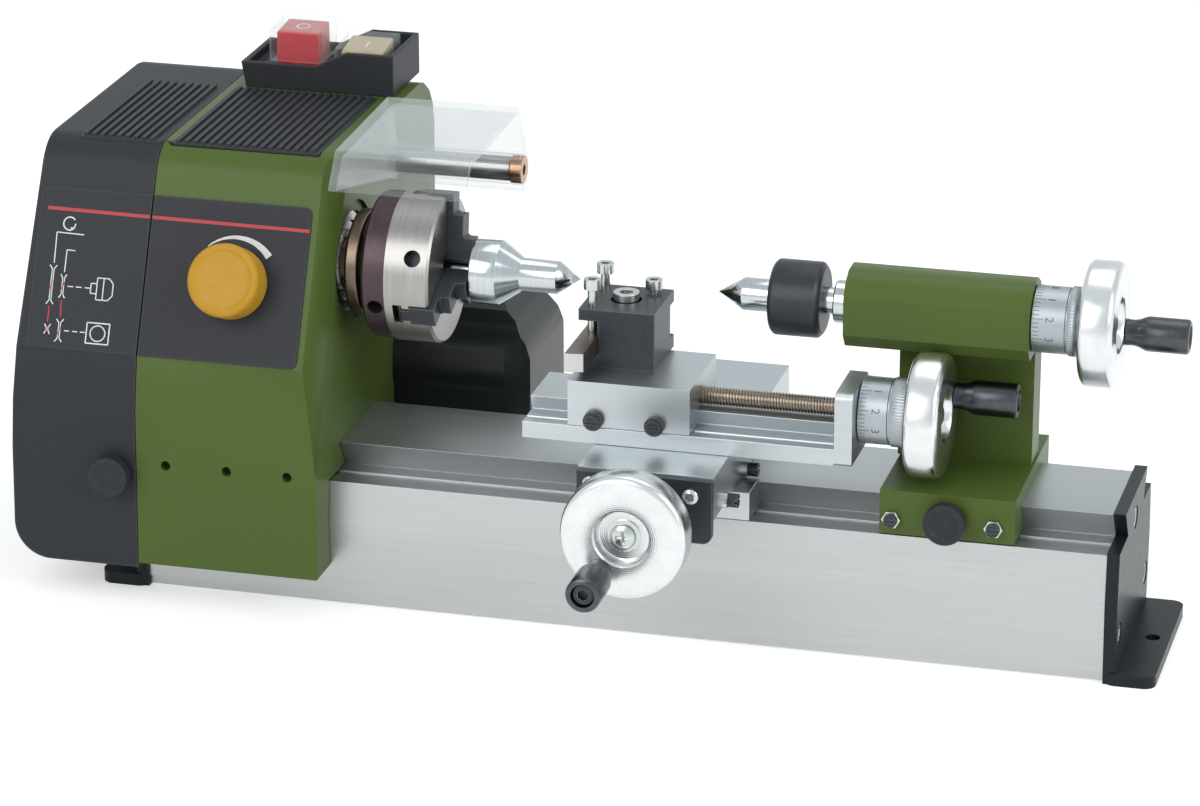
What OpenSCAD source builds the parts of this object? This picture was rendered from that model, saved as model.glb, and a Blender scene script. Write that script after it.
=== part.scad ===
// Bench-top metalworking lathe with a belt-driven headstock, a three-jaw scroll
// chuck, a compound slide and a tailstock. Millimetres, +X towards the tailstock,
// +Y to the rear, +Z up. The origin lies on the bench, midway between the two
// bench bolts and under the spindle axis.

/* [Bed] */
// Length of the bed casting between its end plates
bed_length = 312; // [306:1:360]
// Height of the bed top above the bench
bed_top = 51.75; // [51:0.25:53]
// Height of the side ledge under the dovetail
ledge_z = 42.4; // [41.5:0.1:43]
// Half width of the bed at the ledge
ledge_half = 30.16; // [30:0.02:30.4]
// Wall thickness of the bed casting
bed_wall = 3.2; // [2.6:0.1:4]
// Thickness of each end plate
end_plate_t = 4; // [3:0.5:5]
// Reach of each foot beyond the end plate
foot_reach = 12.3; // [12:0.1:16]
// Distance of the bench bolt hole from the foot's outer edge
bolt_edge = 5.5; // [4.5:0.1:6]
// Diameter of each bench bolt hole
bench_hole_d = 4.8; // [4:0.1:5.5]

/* [Headstock] */
// Height of the spindle axis above the bed top
centre_height = 55; // [54:0.25:55.5]
// Length of the cast headstock housing
housing_length = 60; // [58:0.5:62]
// Length of the belt cover
cover_length = 42; // [40:0.5:46]
// Wall thickness of the belt cover
cover_wall = 2.5; // [2:0.1:3]
// Outer diameter of the spindle
spindle_d = 15; // [14:0.1:15.5]
// Diameter of the through bore of the spindle
spindle_bore_d = 8.5; // [7:0.1:9]
// Outer diameter of the spindle bearings
bearing_od = 32; // [30:0.5:34]
// Width of each spindle bearing
bearing_w = 9; // [7:0.5:10]
// Diameter of the belt track on the spindle pulley
spindle_pulley_d = 40; // [34:0.5:41]
// Diameter of the belt track on the motor pulley
motor_pulley_d = 20; // [18:0.5:24]
// Width of the drive belt
belt_w = 8; // [6:0.5:9]
// Diameter of the speed control knob
speed_knob_d = 23.8; // [20:0.2:26]
// Height of the speed control knob
speed_knob_h = 12; // [9:0.5:14]
// Spacing of the cooling ribs on the top panels
rib_pitch = 2.8; // [2.4:0.1:3.4]

/* [Chuck] */
// Diameter of the chuck body
chuck_d = 48; // [47:0.5:49]
// Diameter of the scroll ring
ring_d = 47; // [45:0.5:48]
// Advance of the scroll for each turn
scroll_pitch = 2.5; // [2.4:0.05:2.6]
// Width of the scroll thread
scroll_land = 1; // [0.9:0.05:1.05]
// Width of the tooth of a jaw
jaw_tooth = 0.95; // [0.8:0.05:0.95]
// Width of a jaw
jaw_w = 6.5; // [6:0.1:6.8]
// Play of a jaw on each side of its slot
jaw_play = 0.25; // [0.2:0.05:0.35]
// Diameter that the closed jaws leave for the gripped pin
grip_d = 4.1; // [4.1:0.1:4.6]
// Diameter of the tommy bar holes
tommy_d = 5.4; // [4.5:0.1:6]

/* [Slides] */
// Play between sliding faces
slide_play = 0.05; // [0.03:0.01:0.1]
// Radial play of turning fits
turn_play = 0.05; // [0.03:0.01:0.08]
// Width of the saddle along the bed
saddle_w = 53.6; // [48:0.5:56]
// Width of the cross slide
cross_w = 43; // [40:0.5:46]
// Length of the cross slide
cross_len = 105.5; // [100:0.5:112]
// Height of the cross slide top above the bench
cross_top = 66; // [65:0.25:66]
// Diameter of the cross feed screw
cross_screw_d = 5; // [4:0.1:5.2]
// Diameter of the top slide feed screw
top_screw_d = 5.8; // [5:0.1:5.8]
// Diameter of the hand wheels on the cross slide and tailstock
wheel_d = 39.6; // [36:0.2:40]
// Diameter of the scale rings
dial_d = 21; // [19:0.2:22]
// Diameter of the hand grips
grip_body_d = 11; // [9:0.5:12]
// Length of the hand grips
grip_len = 17; // [14:0.5:17.5]
// Side of the square tool bit
bit_side = 6; // [5:0.2:6.5]

/* [Tailstock] */
// Diameter of the quill
quill_d = 13.6; // [12:0.2:14]
// Diameter of the tailstock feed screw
tail_screw_d = 6; // [5:0.1:6.4]
// Diameter of the live centre housing
live_d = 24; // [20:0.5:25]

/* [Guard] */
// Thickness of the clear chuck guard
guard_t = 2; // [1.6:0.1:2.4]
// Diameter of the guard hinge rod
guard_rod_d = 8; // [7:0.1:8.4]

/* [Hidden] */
$fn = 64;

bed_left = -156;
bed_right = bed_left + bed_length;
axis_z = bed_top + centre_height;
top_half = 19.5;
neck_half = 13.6;
neck_slope = (top_half - neck_half) / (bed_top - ledge_z);
side_bolt_y = 26;
side_bolt_z = 15;
top_bolt_z = 44;
end_bolt_d = 3.8;
end_bolt_head_d = 7;
groove_y = 22.3;

housing_left = bed_left + 2;
housing_right = housing_left + housing_length;
housing_rear = 90;
housing_low = 14;
housing_top = 144.5;
rear_round = 18;
lean_foot = [-40.7, 82.7];
lean_head = [-19.4, 131];
lean_dir = (lean_head - lean_foot) / norm(lean_head - lean_foot);
lean_out = [-lean_dir[1], lean_dir[0]];
lean_angle = atan2(lean_head[0] - lean_foot[0], lean_head[1] - lean_foot[1]);
head_round = 12;
head_reach = head_round * tan(45 - lean_angle / 2);
head_centre = [
  lean_head[0] + (housing_top - lean_head[1]) * tan(lean_angle) + head_reach,
  housing_top - head_round
];
bearing_left_x = housing_left + 1;
bearing_right_x = housing_right - 2 - bearing_w;
cover_right = housing_left - 0.2;
cover_left = housing_left - cover_length;
knob_x = cover_right - 7.5;
knob_z = 44.4;
motor_y = 62;
motor_z = 58;
motor_r = 23.5;
pulley_x = cover_right - 24;

nose_x = housing_right + 1.5;
chuck_rear = nose_x + 7.4;
ring_front = chuck_rear + 7.8;
chuck_front = ring_front + 14.7;
scroll_floor = ring_front + 3.1;
scroll_crest = scroll_floor + 1.4;
slot_floor = scroll_floor - 0.3;
jaw_back = scroll_crest + 0.2;
boss_r = 19.5;
hub_r = 10;
jaw_angles = [82, 202, 322];
scroll_first = 18.65;
tooth_first = scroll_first - scroll_pitch / 2;

rod_y = 40.4;
rod_z = 128.3;

saddle_mid = 16.4;
saddle_left = saddle_mid - saddle_w / 2;
cross_left = saddle_mid + 0.1 - cross_w / 2;
cross_right = cross_left + cross_w;
cross_front = -56.5;
cross_rear = cross_front + cross_len;
cross_low = bed_top + 0.15;
tail_half_top = 12.5;
tail_half_foot = 9;
way_top = cross_low + 8.2;
cross_screw_z = way_top - 4.95;
apron_t = 2.2;
apron_front = cross_front - apron_t;

base_left = -28.4;
base_right = 71;
base_front = -37;
base_rear = -2;
flange_top = 71.5;
rail_top = 76.5;
rail_mid = -15.85;
rail_half_top = 11.35;
rail_half_foot = 9.25;
bracket_t = 5.8;
bracket_top = 89.5;
bracket_right = base_right + bracket_t;
slide_left = -13.6;
slide_right = 25.5;
slide_top = 86.4;
feed_y = -21;
feed_z = rail_top + top_screw_d / 2 + 0.25;
post_left = -13.7;
post_right = 10.8;
post_front = -23.3;
post_rear = 1.9;
post_top = 105.3;
post_bolt = [-1.5, -10.7];
slot_low = 90.6;

tail_left = 84.5;
tail_right = 127;
tail_front = -30.2;
tail_rear = 30.2;
tail_base_top = 57.2;
tail_face = 126.3;
barrel_left = 68;
quill_left = 63.5;
wheel_r = wheel_d / 2;
top_wheel_r = 19.5;

// Half profiles are mirrored about the spindle plane.
function mirrored(half) =
  concat(half, [for (i = [len(half) - 1:-1:0]) [-half[i][0], half[i][1]]]);

module prism_x(x0, x1) {
  translate([x0, 0, 0])
    rotate([90, 0, 90])
      linear_extrude(x1 - x0)
        children();
}

module prism_y(y0, y1) {
  translate([0, y1, 0])
    rotate([90, 0, 0])
      linear_extrude(y1 - y0)
        children();
}

module rod_x(x0, x1, r, y = 0, z = 0) {
  translate([x0, y, z])
    rotate([0, 90, 0])
      cylinder(h = x1 - x0, r = r);
}

module rod_y(y0, y1, r, x = 0, z = 0) {
  translate([x, y0, z])
    rotate([-90, 0, 0])
      cylinder(h = y1 - y0, r = r);
}

module rod_z(z0, z1, r, x = 0, y = 0) {
  translate([x, y, z0])
    cylinder(h = z1 - z0, r = r);
}

// A turned piece about X: each point is [position along X, radius].
module turned_x(points, y = 0, z = 0) {
  translate([0, y, z])
    rotate([0, 90, 0])
      rotate_extrude()
        polygon([for (p = points) [p[1], p[0]]]);
}

// A turned piece about Y: each point is [position along Y, radius].
module turned_y(points, x = 0, z = 0) {
  translate([x, 0, z])
    rotate([-90, 0, 0])
      rotate_extrude()
        polygon([for (p = points) [p[1], p[0]]]);
}

module round_rect(w, h, r) {
  translate([r, 0])
    square([w - 2 * r, h]);
  translate([0, r])
    square([w, h - 2 * r]);
  for (x = [r, w - r], y = [r, h - r])
    translate([x, y])
      circle(r);
}

module block(low, high) {
  translate(low)
    cube(high - low);
}

// Outline of the bed, grown by g on its sides, with its top held at the way.
module bed_outline(g, foot, head) {
  polygon(mirrored([
    [29.9 + g, foot],
    [30.2 + g, 3.4],
    [31.4 + g, 24],
    [31.4 + g, 28],
    [ledge_half + g, ledge_z + g],
    [neck_half + g * 1.3, ledge_z + g],
    [top_half + g * 1.3 + (head - bed_top) * neck_slope, head]
  ]));
}

module bed() {
  color("gainsboro")
    prism_x(bed_left, bed_right)
      difference() {
        bed_outline(0, 0.5, bed_top);
        difference() {
          for (s = [-1, 1])
            polygon([
              [s * bed_wall / 2, -1],
              [s * (29.9 - bed_wall), -1],
              [s * (31.4 - bed_wall), 24],
              [s * (ledge_half - bed_wall), ledge_z - bed_wall - 1],
              [s * (neck_half - bed_wall), ledge_z - bed_wall - 1],
              [s * (neck_half - bed_wall), ledge_z - bed_wall - 1],
              [s * bed_wall / 2, ledge_z - bed_wall - 5]
            ]);
          for (s = [-1, 1])
            translate([s * side_bolt_y, side_bolt_z])
              circle(4.6);
        }
        for (s = [-1, 1])
          translate([s * side_bolt_y, side_bolt_z])
            circle(end_bolt_d / 2);
        translate([0, top_bolt_z])
          circle(end_bolt_d / 2);
        for (s = [-1, 1]) {
          translate([s * groove_y - 2.1, ledge_z - 0.5])
            square([4.2, 1]);
          translate([s * 31 - 1.5, -1])
            square([3, 4.4]);
        }
      }
}

// End plate with its bench foot; side is -1 at the headstock and 1 at the tailstock.
module end_plate(side) {
  x_in = side < 0 ? bed_left : bed_right;
  x_out = x_in + side * end_plate_t;
  x_foot = x_out + side * foot_reach;
  difference() {
    union() {
      prism_x(min(x_in, x_out), max(x_in, x_out))
        bed_outline(1.2, 0, bed_top + 1.2);
      translate([min(x_in, x_foot), -32, 0])
        linear_extrude(4)
          difference() {
            round_rect(end_plate_t + foot_reach, 64, 3.9);
            translate([side < 0 ? end_plate_t + foot_reach - 4 : -1, -1])
              square([5, 0.9]);
          }
    }
    rod_z(-1, 5, bench_hole_d / 2, x_foot - side * bolt_edge, 0);
    for (p = [[side_bolt_y, side_bolt_z], [-side_bolt_y, side_bolt_z], [0, top_bolt_z]]) {
      rod_x(min(x_in, x_out) - 1, max(x_in, x_out) + 1, end_bolt_d / 2, p[0], p[1]);
      rod_x(
        side < 0 ? x_out - 1 : x_out - 2.6,
        side < 0 ? x_out + 2.6 : x_out + 1,
        end_bolt_head_d / 2 + 0.25, p[0], p[1]
      );
    }
  }
}

module left_end_plate() {
  outer = bed_left - end_plate_t;
  color("darkslategray") {
    end_plate(-1);
    block([outer - 3, -40.9, knob_z - 6.4], [outer + 0.01, -26, knob_z - 1]);
    block([knob_x - 5, -40.9, knob_z - 6.4], [outer + 2, -37.9, knob_z + 5.6]);
  }
}

module right_end_plate() {
  color("darkslategray")
    end_plate(1);
}

module end_plate_screws() {
  color("silver")
    for (side = [-1, 1])
      for (p = [[side_bolt_y, side_bolt_z], [-side_bolt_y, side_bolt_z], [0, top_bolt_z]]) {
        x_in = side < 0 ? bed_left : bed_right;
        seat = x_in + side * (end_plate_t - 2.6);
        difference() {
          union() {
            rod_x(
              min(seat, seat + side * 2.3), max(seat, seat + side * 2.3),
              end_bolt_head_d / 2, p[0], p[1]
            );
            rod_x(
              min(seat, seat - side * 14), max(seat, seat - side * 14),
              end_bolt_d / 2 - 0.05, p[0], p[1]
            );
          }
          translate([seat + side * 1.3, p[0], p[1]])
            rotate([0, side * 90, 0])
              cylinder(h = 2, r = 2.1, $fn = 6);
        }
      }
}

// Profile of the headstock across the spindle, inset by g.
module head_profile(g, low) {
  rear = housing_rear - g;
  top = housing_top - g;
  polygon(concat(
    [[-45.7 + g, low], [-44 + g, 66], [lean_foot[0] + g, lean_foot[1]]],
    [for (i = [0:6]) let (a = 180 - lean_angle - i * (90 - lean_angle) / 6)
      head_centre + (head_round - g) * [cos(a), sin(a)]],
    [for (i = [0:5])
      [rear - rear_round + rear_round * sin(i * 18), top - rear_round + rear_round * cos(i * 18)]],
    [[rear, low]]
  ));
}

module headstock_housing() {
  color("olivedrab")
    difference() {
      union() {
        prism_x(housing_left, housing_right - 5)
          head_profile(0, housing_low);
        hull() {
          prism_x(housing_right - 5.01, housing_right - 5)
            head_profile(0, housing_low);
          prism_x(housing_right - 0.01, housing_right)
            polygon([
              [-45.7, housing_low],
              [-44.6, 48],
              [-28.5, 91],
              [-18.7, 117],
              [-1, housing_top],
              [housing_rear - rear_round, housing_top],
              [housing_rear - rear_round * 0.62, housing_top - rear_round * 0.07],
              [housing_rear - rear_round * 0.29, housing_top - rear_round * 0.29],
              [housing_rear - rear_round * 0.07, housing_top - rear_round * 0.62],
              [housing_rear, housing_top - rear_round],
              [housing_rear, housing_low]
            ]);
        }
      }
      prism_x(housing_left - 1, housing_right + 1)
        bed_outline(0.3, -1, bed_top);
      rod_x(housing_left - 1, housing_right + 1, spindle_d / 2 + 1.2, 0, axis_z);
      rod_x(bearing_left_x - 2, bearing_left_x + bearing_w, bearing_od / 2, 0, axis_z);
      rod_x(bearing_right_x, housing_right + 1, bearing_od / 2, 0, axis_z);
      rod_x(housing_right - 1.2, housing_right + 1, bearing_od / 2 + 3.5, 0, axis_z);
      rod_x(housing_left - 1, housing_right - 8, 5, motor_y, motor_z);
      rod_x(housing_right - 9, housing_right + 1, 3 + turn_play, motor_y, motor_z);
      rod_x(housing_right - 14, housing_right + 1, guard_rod_d / 2 + 0.02, rod_y, rod_z);
      for (x = [9.8, 30.2, 50.4])
        rod_y(-47, -40, 1.6, housing_left + x, 47.8);
      block(
        [housing_left + 3, -10, housing_top - 1.2],
        [housing_right - 8, 54, housing_top + 1]
      );
      translate([knob_seat[0], knob_seat[1], knob_seat[2]])
        rotate([90 - lean_angle, 0, 0])
          translate([0, 0, -9])
            cylinder(h = 12, r = 3.2);
    }
}

knob_level = 106.2;
knob_mid = (knob_level - lean_foot[1]) / (lean_head[1] - lean_foot[1]);
knob_seat = [
  housing_left + 29.3,
  lean_foot[0] + knob_mid * (lean_head[0] - lean_foot[0]),
  knob_level
];
panel_t = 0.6;
label_low = 0.2;
label_high = 51.5;

// Ribbed cooling panel between two X positions, ribs along Y.
module ribbed_panel(x0, x1, base_z) {
  count = floor((x1 - x0 - 1) / rib_pitch);
  block([x0, -9.8, base_z], [x1, 53.8, housing_top]);
  for (i = [0:count - 1])
    block(
      [x0 + 0.8 + i * rib_pitch, -9, housing_top - 0.01],
      [x0 + 0.8 + i * rib_pitch + 1.3, 53, housing_top + 0.9]
    );
}

module vent_panel() {
  color("dimgray")
    ribbed_panel(housing_left + 3.2, housing_right - 8.2, housing_top - 1.2);
}

// A label laid on the leaning front face, rounded on one side and square at the seam,
// let in by sink where it is moulded in one with what carries it.
module lean_label(x0, x1, seam, sink) {
  translate([0, lean_foot[0], lean_foot[1]])
    rotate([90 - lean_angle, 0, 0])
      translate([0, 0, -sink])
        linear_extrude(panel_t + sink)
          translate([0, label_low]) {
            translate([x0, 0])
              round_rect(x1 - x0, label_high - label_low, 2.5);
            translate([seam == x0 ? x0 : x1 - 5, 0])
              square([5, label_high - label_low]);
          }
}

module control_panel() {
  color([0.15, 0.16, 0.18])
    difference() {
      lean_label(housing_left + 0.2, housing_right - 7, housing_left + 0.2, 0);
      translate(knob_seat)
        rotate([90 - lean_angle, 0, 0])
          translate([0, 0, -4])
            cylinder(h = 8, r = 3.2);
    }
}

module speed_knob() {
  color("goldenrod")
    translate(knob_seat)
      rotate([90 - lean_angle, 0, 0])
        translate([0, 0, panel_t + 0.3])
          rotate_extrude()
            polygon([
              [0, -7],
              [3.15, -7],
              [3.15, 0],
              [speed_knob_d / 2 - 0.4, 0],
              [speed_knob_d / 2, 0.4],
              [speed_knob_d / 2, speed_knob_h - 0.9],
              [speed_knob_d / 2 - 0.3, speed_knob_h - 0.3],
              [speed_knob_d / 2 - 0.9, speed_knob_h],
              [0, speed_knob_h]
            ]);
}

box_left = -150;
box_right = -97.5;
box_front = 55.5;
box_rear = 85.5;
box_low_z = housing_top + 8.7;
box_high_z = box_low_z + 5.3;
box_floor = housing_top + 5.5;
button_w = 14.4;
off_x = -132.4;
on_x = -110.3;
button_y = 68.6;
button_d = 13;
cap_wall = 2;
button_low = box_floor - 1.2;
off_tops = [box_high_z + 3.7, box_high_z + 4.8];
on_tops = [box_high_z - 1.5, box_high_z + 0.7];
button_play = 0.3;

module switch_box() {
  color([0.13, 0.14, 0.16])
    difference() {
      prism_y(box_front, box_rear)
        polygon([
          [box_left + 1.5, housing_top],
          [box_left, box_low_z],
          [-124.5, box_low_z],
          [-113.5, box_high_z],
          [box_right, box_high_z],
          [box_right, housing_top]
        ]);
      block(
        [box_left + 2, box_front + 1.6, box_floor],
        [box_right - 1.6, box_rear - 1.6, box_high_z + 1]
      );
      for (x = [off_x, on_x])
        block(
          [x - button_w / 2 - button_play, button_y - button_d / 2 - button_play, housing_top + 1.5],
          [x + button_w / 2 + button_play, button_y + button_d / 2 + button_play, box_floor + 1]
        );
    }
}

// Coloured key of a switch button with a sloping top; front and rear are top heights.
module button_key(x, front, rear) {
  prism_x(x - button_w / 2, x + button_w / 2)
    polygon([
      [button_y - button_d / 2, button_low],
      [button_y - button_d / 2, front],
      [button_y + button_d / 2, rear],
      [button_y + button_d / 2, button_low]
    ]);
}

// Clear cap over a key, open below.
module button_cap(x, front, rear, w) {
  difference() {
    prism_x(x - button_w / 2 - w, x + button_w / 2 + w)
      polygon([
        [button_y - button_d / 2 - w, box_floor + 2.4],
        [button_y - button_d / 2 - w, front + 1.2],
        [button_y + button_d / 2 + w, rear + 1.2],
        [button_y + button_d / 2 + w, box_floor + 2.4]
      ]);
    button_key(x, front, rear);
  }
}

module off_button() {
  color("crimson")
    button_key(off_x, off_tops[0], off_tops[1]);
}

module off_button_cap() {
  color([0.85, 0.88, 0.9, 0.4])
    button_cap(off_x, off_tops[0], off_tops[1], cap_wall);
}

module on_button() {
  color("tan")
    button_key(on_x, on_tops[0], on_tops[1]);
}

module on_button_cap() {
  color([0.85, 0.88, 0.9, 0.4])
    button_cap(on_x, on_tops[0], on_tops[1], 1.8);
}

motor_left = housing_right;
motor_flat = 39.8;
motor_end = motor_left + 46;

module motor_housing() {
  color([0.14, 0.14, 0.14])
    difference() {
      intersection() {
        union() {
          rod_x(motor_left, motor_end, motor_r, motor_y, motor_z);
          prism_x(motor_left, motor_end)
            polygon([
              [motor_flat, 36],
              [motor_flat, 62],
              [motor_y - 14, motor_z + 20],
              [motor_y, motor_z + 20],
              [motor_y + motor_r, motor_z],
              [motor_y + motor_r, 36]
            ]);
          prism_x(motor_left, motor_end - 3)
            polygon([
              [motor_flat + 1, 64],
              [motor_flat + 6.2, 77.4],
              [motor_y - 10, motor_z + 22],
              [motor_y, motor_z + 20],
              [motor_y, 60]
            ]);
        }
        prism_y(0, 100)
          polygon([
            [motor_left, 36],
            [motor_left, 90],
            [motor_end - 16, motor_z + motor_r + 0.5],
            [motor_end - 12, motor_z + motor_r - 1],
            [motor_end - 5.5, 74.5],
            [motor_end - 1.4, 67.5],
            [motor_end, 62],
            [motor_end, 36]
          ]);
        translate([0, 0, 30])
          linear_extrude(60)
            polygon([
              [motor_left, motor_flat - 5],
              [motor_end - 7.5, motor_flat - 5],
              [motor_end - 7.5, motor_flat],
              [motor_end, motor_flat + 3.4],
              [motor_end, 100],
              [motor_left, 100]
            ]);
      }
      rod_x(motor_left - 1, motor_left + 36.5, 18.2, motor_y, motor_z);
      rod_x(motor_left + 36, motor_left + 43.5, 3.2, motor_y, motor_z);
    }
}

module motor_stator() {
  color("silver")
    difference() {
      rod_x(motor_left + 6, motor_left + 34, 18.1, motor_y, motor_z);
      rod_x(motor_left + 5, motor_left + 35, 12.4, motor_y, motor_z);
    }
}

module motor_shaft() {
  color("lightgray")
    turned_x([
      [pulley_x - belt_w / 2 - 2, 0],
      [pulley_x - belt_w / 2 - 2, 3],
      [motor_left + 7, 3],
      [motor_left + 7, 12],
      [motor_left + 33, 12],
      [motor_left + 33, 3.15],
      [motor_left + 43, 3.15],
      [motor_left + 43, 0]
    ], motor_y, motor_z);
}

// Flanged pulley; r is the belt track radius, bore is its hole.
module pulley(r, bore, y, z) {
  half = belt_w / 2 + 0.4;
  turned_x([
    [pulley_x - half - 1.5, bore],
    [pulley_x - half - 1.5, r + 2],
    [pulley_x - half, r + 2],
    [pulley_x - half, r],
    [pulley_x + half, r],
    [pulley_x + half, r + 2],
    [pulley_x + half + 1.5, r + 2],
    [pulley_x + half + 1.5, bore]
  ], y, z);
}

module spindle_pulley() {
  color("gray")
    pulley(spindle_pulley_d / 2, spindle_d / 2, 0, axis_z);
}

module motor_pulley() {
  color("gray")
    pulley(motor_pulley_d / 2, 3, motor_y, motor_z);
}

belt_in = 0.1;
belt_out = 1.5;
belt_span = [motor_y, motor_z - axis_z];
belt_away = atan2(belt_span[1], belt_span[0]);
belt_wrap = acos((spindle_pulley_d - motor_pulley_d) / 2 / norm(belt_span));

function polar(r, a) = r * [cos(a), sin(a)];

// Part of the belt that lies on a pulley of radius r; cut holds its far side.
module belt_bend(r, cut) {
  difference() {
    circle(r + belt_out);
    circle(r + belt_in);
    polygon(concat([[0, 0]], [for (a = cut) polar(120, belt_away + a)]));
  }
}

// Straight run of the belt on one side, lapped a little into both bends.
module belt_run(side) {
  a = belt_away + side * belt_wrap;
  along = side * polar(0.3, a - 90);
  r1 = spindle_pulley_d / 2;
  r2 = motor_pulley_d / 2;
  polygon([
    polar(r1 + belt_in + 0.03, a) - along,
    polar(r1 + belt_out - 0.03, a) - along,
    belt_span + polar(r2 + belt_out - 0.03, a) + along,
    belt_span + polar(r2 + belt_in + 0.03, a) + along
  ]);
}

module drive_belt() {
  color([0.1, 0.1, 0.1])
    prism_x(pulley_x - belt_w / 2, pulley_x + belt_w / 2)
      translate([0, axis_z]) {
        belt_bend(spindle_pulley_d / 2, [belt_wrap, 40, -40, -belt_wrap]);
        translate(belt_span)
          belt_bend(motor_pulley_d / 2, [belt_wrap, 120, 180, 240, 360 - belt_wrap]);
        belt_run(1);
        belt_run(-1);
      }
}

module spindle_bearings() {
  color("silver")
    for (x = [bearing_left_x, bearing_right_x])
      difference() {
        rod_x(x, x + bearing_w, bearing_od / 2, 0, axis_z);
        rod_x(x - 1, x + bearing_w + 1, spindle_d / 2, 0, axis_z);
        for (e = [x - 1, x + bearing_w - 0.8])
          difference() {
            rod_x(e, e + 1.8, spindle_d / 2 + 5.4, 0, axis_z);
            rod_x(e - 1, e + 3, spindle_d / 2 + 2.4, 0, axis_z);
          }
      }
}

module guard_rod() {
  color("silver")
    difference() {
      union() {
        rod_x(housing_right - 14, guard_right - 3.5, guard_rod_d / 2, rod_y, rod_z);
        rod_x(guard_right - 3.6, guard_right + 0.4, guard_rod_d / 2 + 0.6, rod_y, rod_z);
      }
      rod_x(guard_right - 3, guard_right + 1, 1.7, rod_y, rod_z);
    }
}

guard_left = housing_right + 0.7;
guard_right = -49.2;
curl_r = guard_rod_d / 2 + 1.1 + guard_t;

// Side view of the bent guard sheet, r is its curl and lip growth.
module guard_sheet_outline() {
  difference() {
    union() {
      polygon([
        [-28.4, 139],
        [-20.4, 149.6],
        [35.6, 151],
        [rod_y + curl_r * cos(20), rod_z + curl_r * sin(20)],
        [rod_y, rod_z],
        [35.2, 151 - guard_t],
        [-19.6, 149.6 - guard_t],
        [-26.8, 138.2]
      ]);
      translate([rod_y, rod_z])
        circle(curl_r);
    }
    translate([rod_y, rod_z])
      circle(curl_r - guard_t);
    polygon([
      [rod_y - 30, rod_z - 20],
      [rod_y - 1, rod_z - 20],
      [rod_y - 1, rod_z],
      [rod_y - 3, rod_z + 3],
      [34.2, 151 - guard_t - 0.05],
      [-19.4, 149.55 - guard_t],
      [-26.7, 138.1]
    ]);
  }
}

module guard() {
  color([0.85, 0.9, 0.9, 0.35]) {
    prism_x(guard_left, guard_right)
      guard_sheet_outline();
    difference() {
      prism_x(guard_left, guard_left + guard_t)
        polygon([
          [-27.4, 138.6],
          [-20, 148.4],
          [35.4, 149.8],
          [rod_y + curl_r * cos(20) - 0.6, rod_z + curl_r * sin(20)],
          [rod_y + curl_r - 1, rod_z - 2],
          [rod_y, rod_z - curl_r + 0.4],
          [rod_y - 7, rod_z - 4]
        ]);
      rod_x(
        guard_left - 1, guard_left + guard_t + 1,
        guard_rod_d / 2 + 0.1, rod_y, rod_z
      );
    }
  }
}

module belt_cover() {
  color([0.17, 0.17, 0.18])
    difference() {
      union() {
        intersection() {
          prism_x(cover_left, cover_right)
            head_profile(0, housing_low - 1.5);
          prism_y(-60, 100)
            difference() {
              polygon([
                [cover_left + 6, 200],
                [cover_left, 50],
                [cover_left, 0],
                [cover_right, 0],
                [cover_right, 200]
              ]);
              difference() {
                translate([cover_left - 1, 0])
                  square([13, housing_low - 1.5 + 12]);
                translate([cover_left + 12, housing_low - 1.5 + 12])
                  circle(12);
              }
            }
        }
        lean_label(cover_left + 4.6, cover_right, cover_right, 0.5);
        ribbed_panel(cover_left + 14, cover_right - 0.8, housing_top - 1);
      }
      prism_x(cover_left + 9, cover_right + 1)
        head_profile(cover_wall, housing_low + 1);
      block(
        [knob_x - 8, -34, housing_low - 5],
        [cover_right + 1, 34, housing_low + 5]
      );
      rod_y(-50, -40, 2.2, knob_x, knob_z);
    }
}

module cover_knob() {
  color([0.08, 0.08, 0.08])
    difference() {
      turned_y([
        [-41.1, 0],
        [-41.1, 2],
        [-45, 2],
        [-45, 6],
        [-45.8, 6.6],
        [-50.6, 6.6],
        [-51.4, 5.8],
        [-51.4, 0]
      ], knob_x, knob_z);
      rod_y(-52, -50.6, 3, knob_x, knob_z);
    }
}

module spindle() {
  color("lightsteelblue")
    turned_x([
      [cover_left + 10, spindle_bore_d / 2],
      [cover_left + 10, spindle_d / 2 - turn_play],
      [nose_x, spindle_d / 2 - turn_play],
      [nose_x, 16.4],
      [nose_x + 0.6, 17],
      [nose_x + 4, 17],
      [nose_x + 4.5, 16.5],
      [nose_x + 4.5, 8],
      [nose_x + 8.5, 8],
      [nose_x + 8.5, spindle_bore_d / 2]
    ], 0, axis_z);
}

// Places children in the slot frame of jaw number i: +X outwards, +Z along the axis.
module at_jaw(i) {
  translate([0, 0, axis_z])
    rotate([0, 90, 0])
      rotate([0, 0, jaw_angles[i] + 90])
        children();
}

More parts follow.
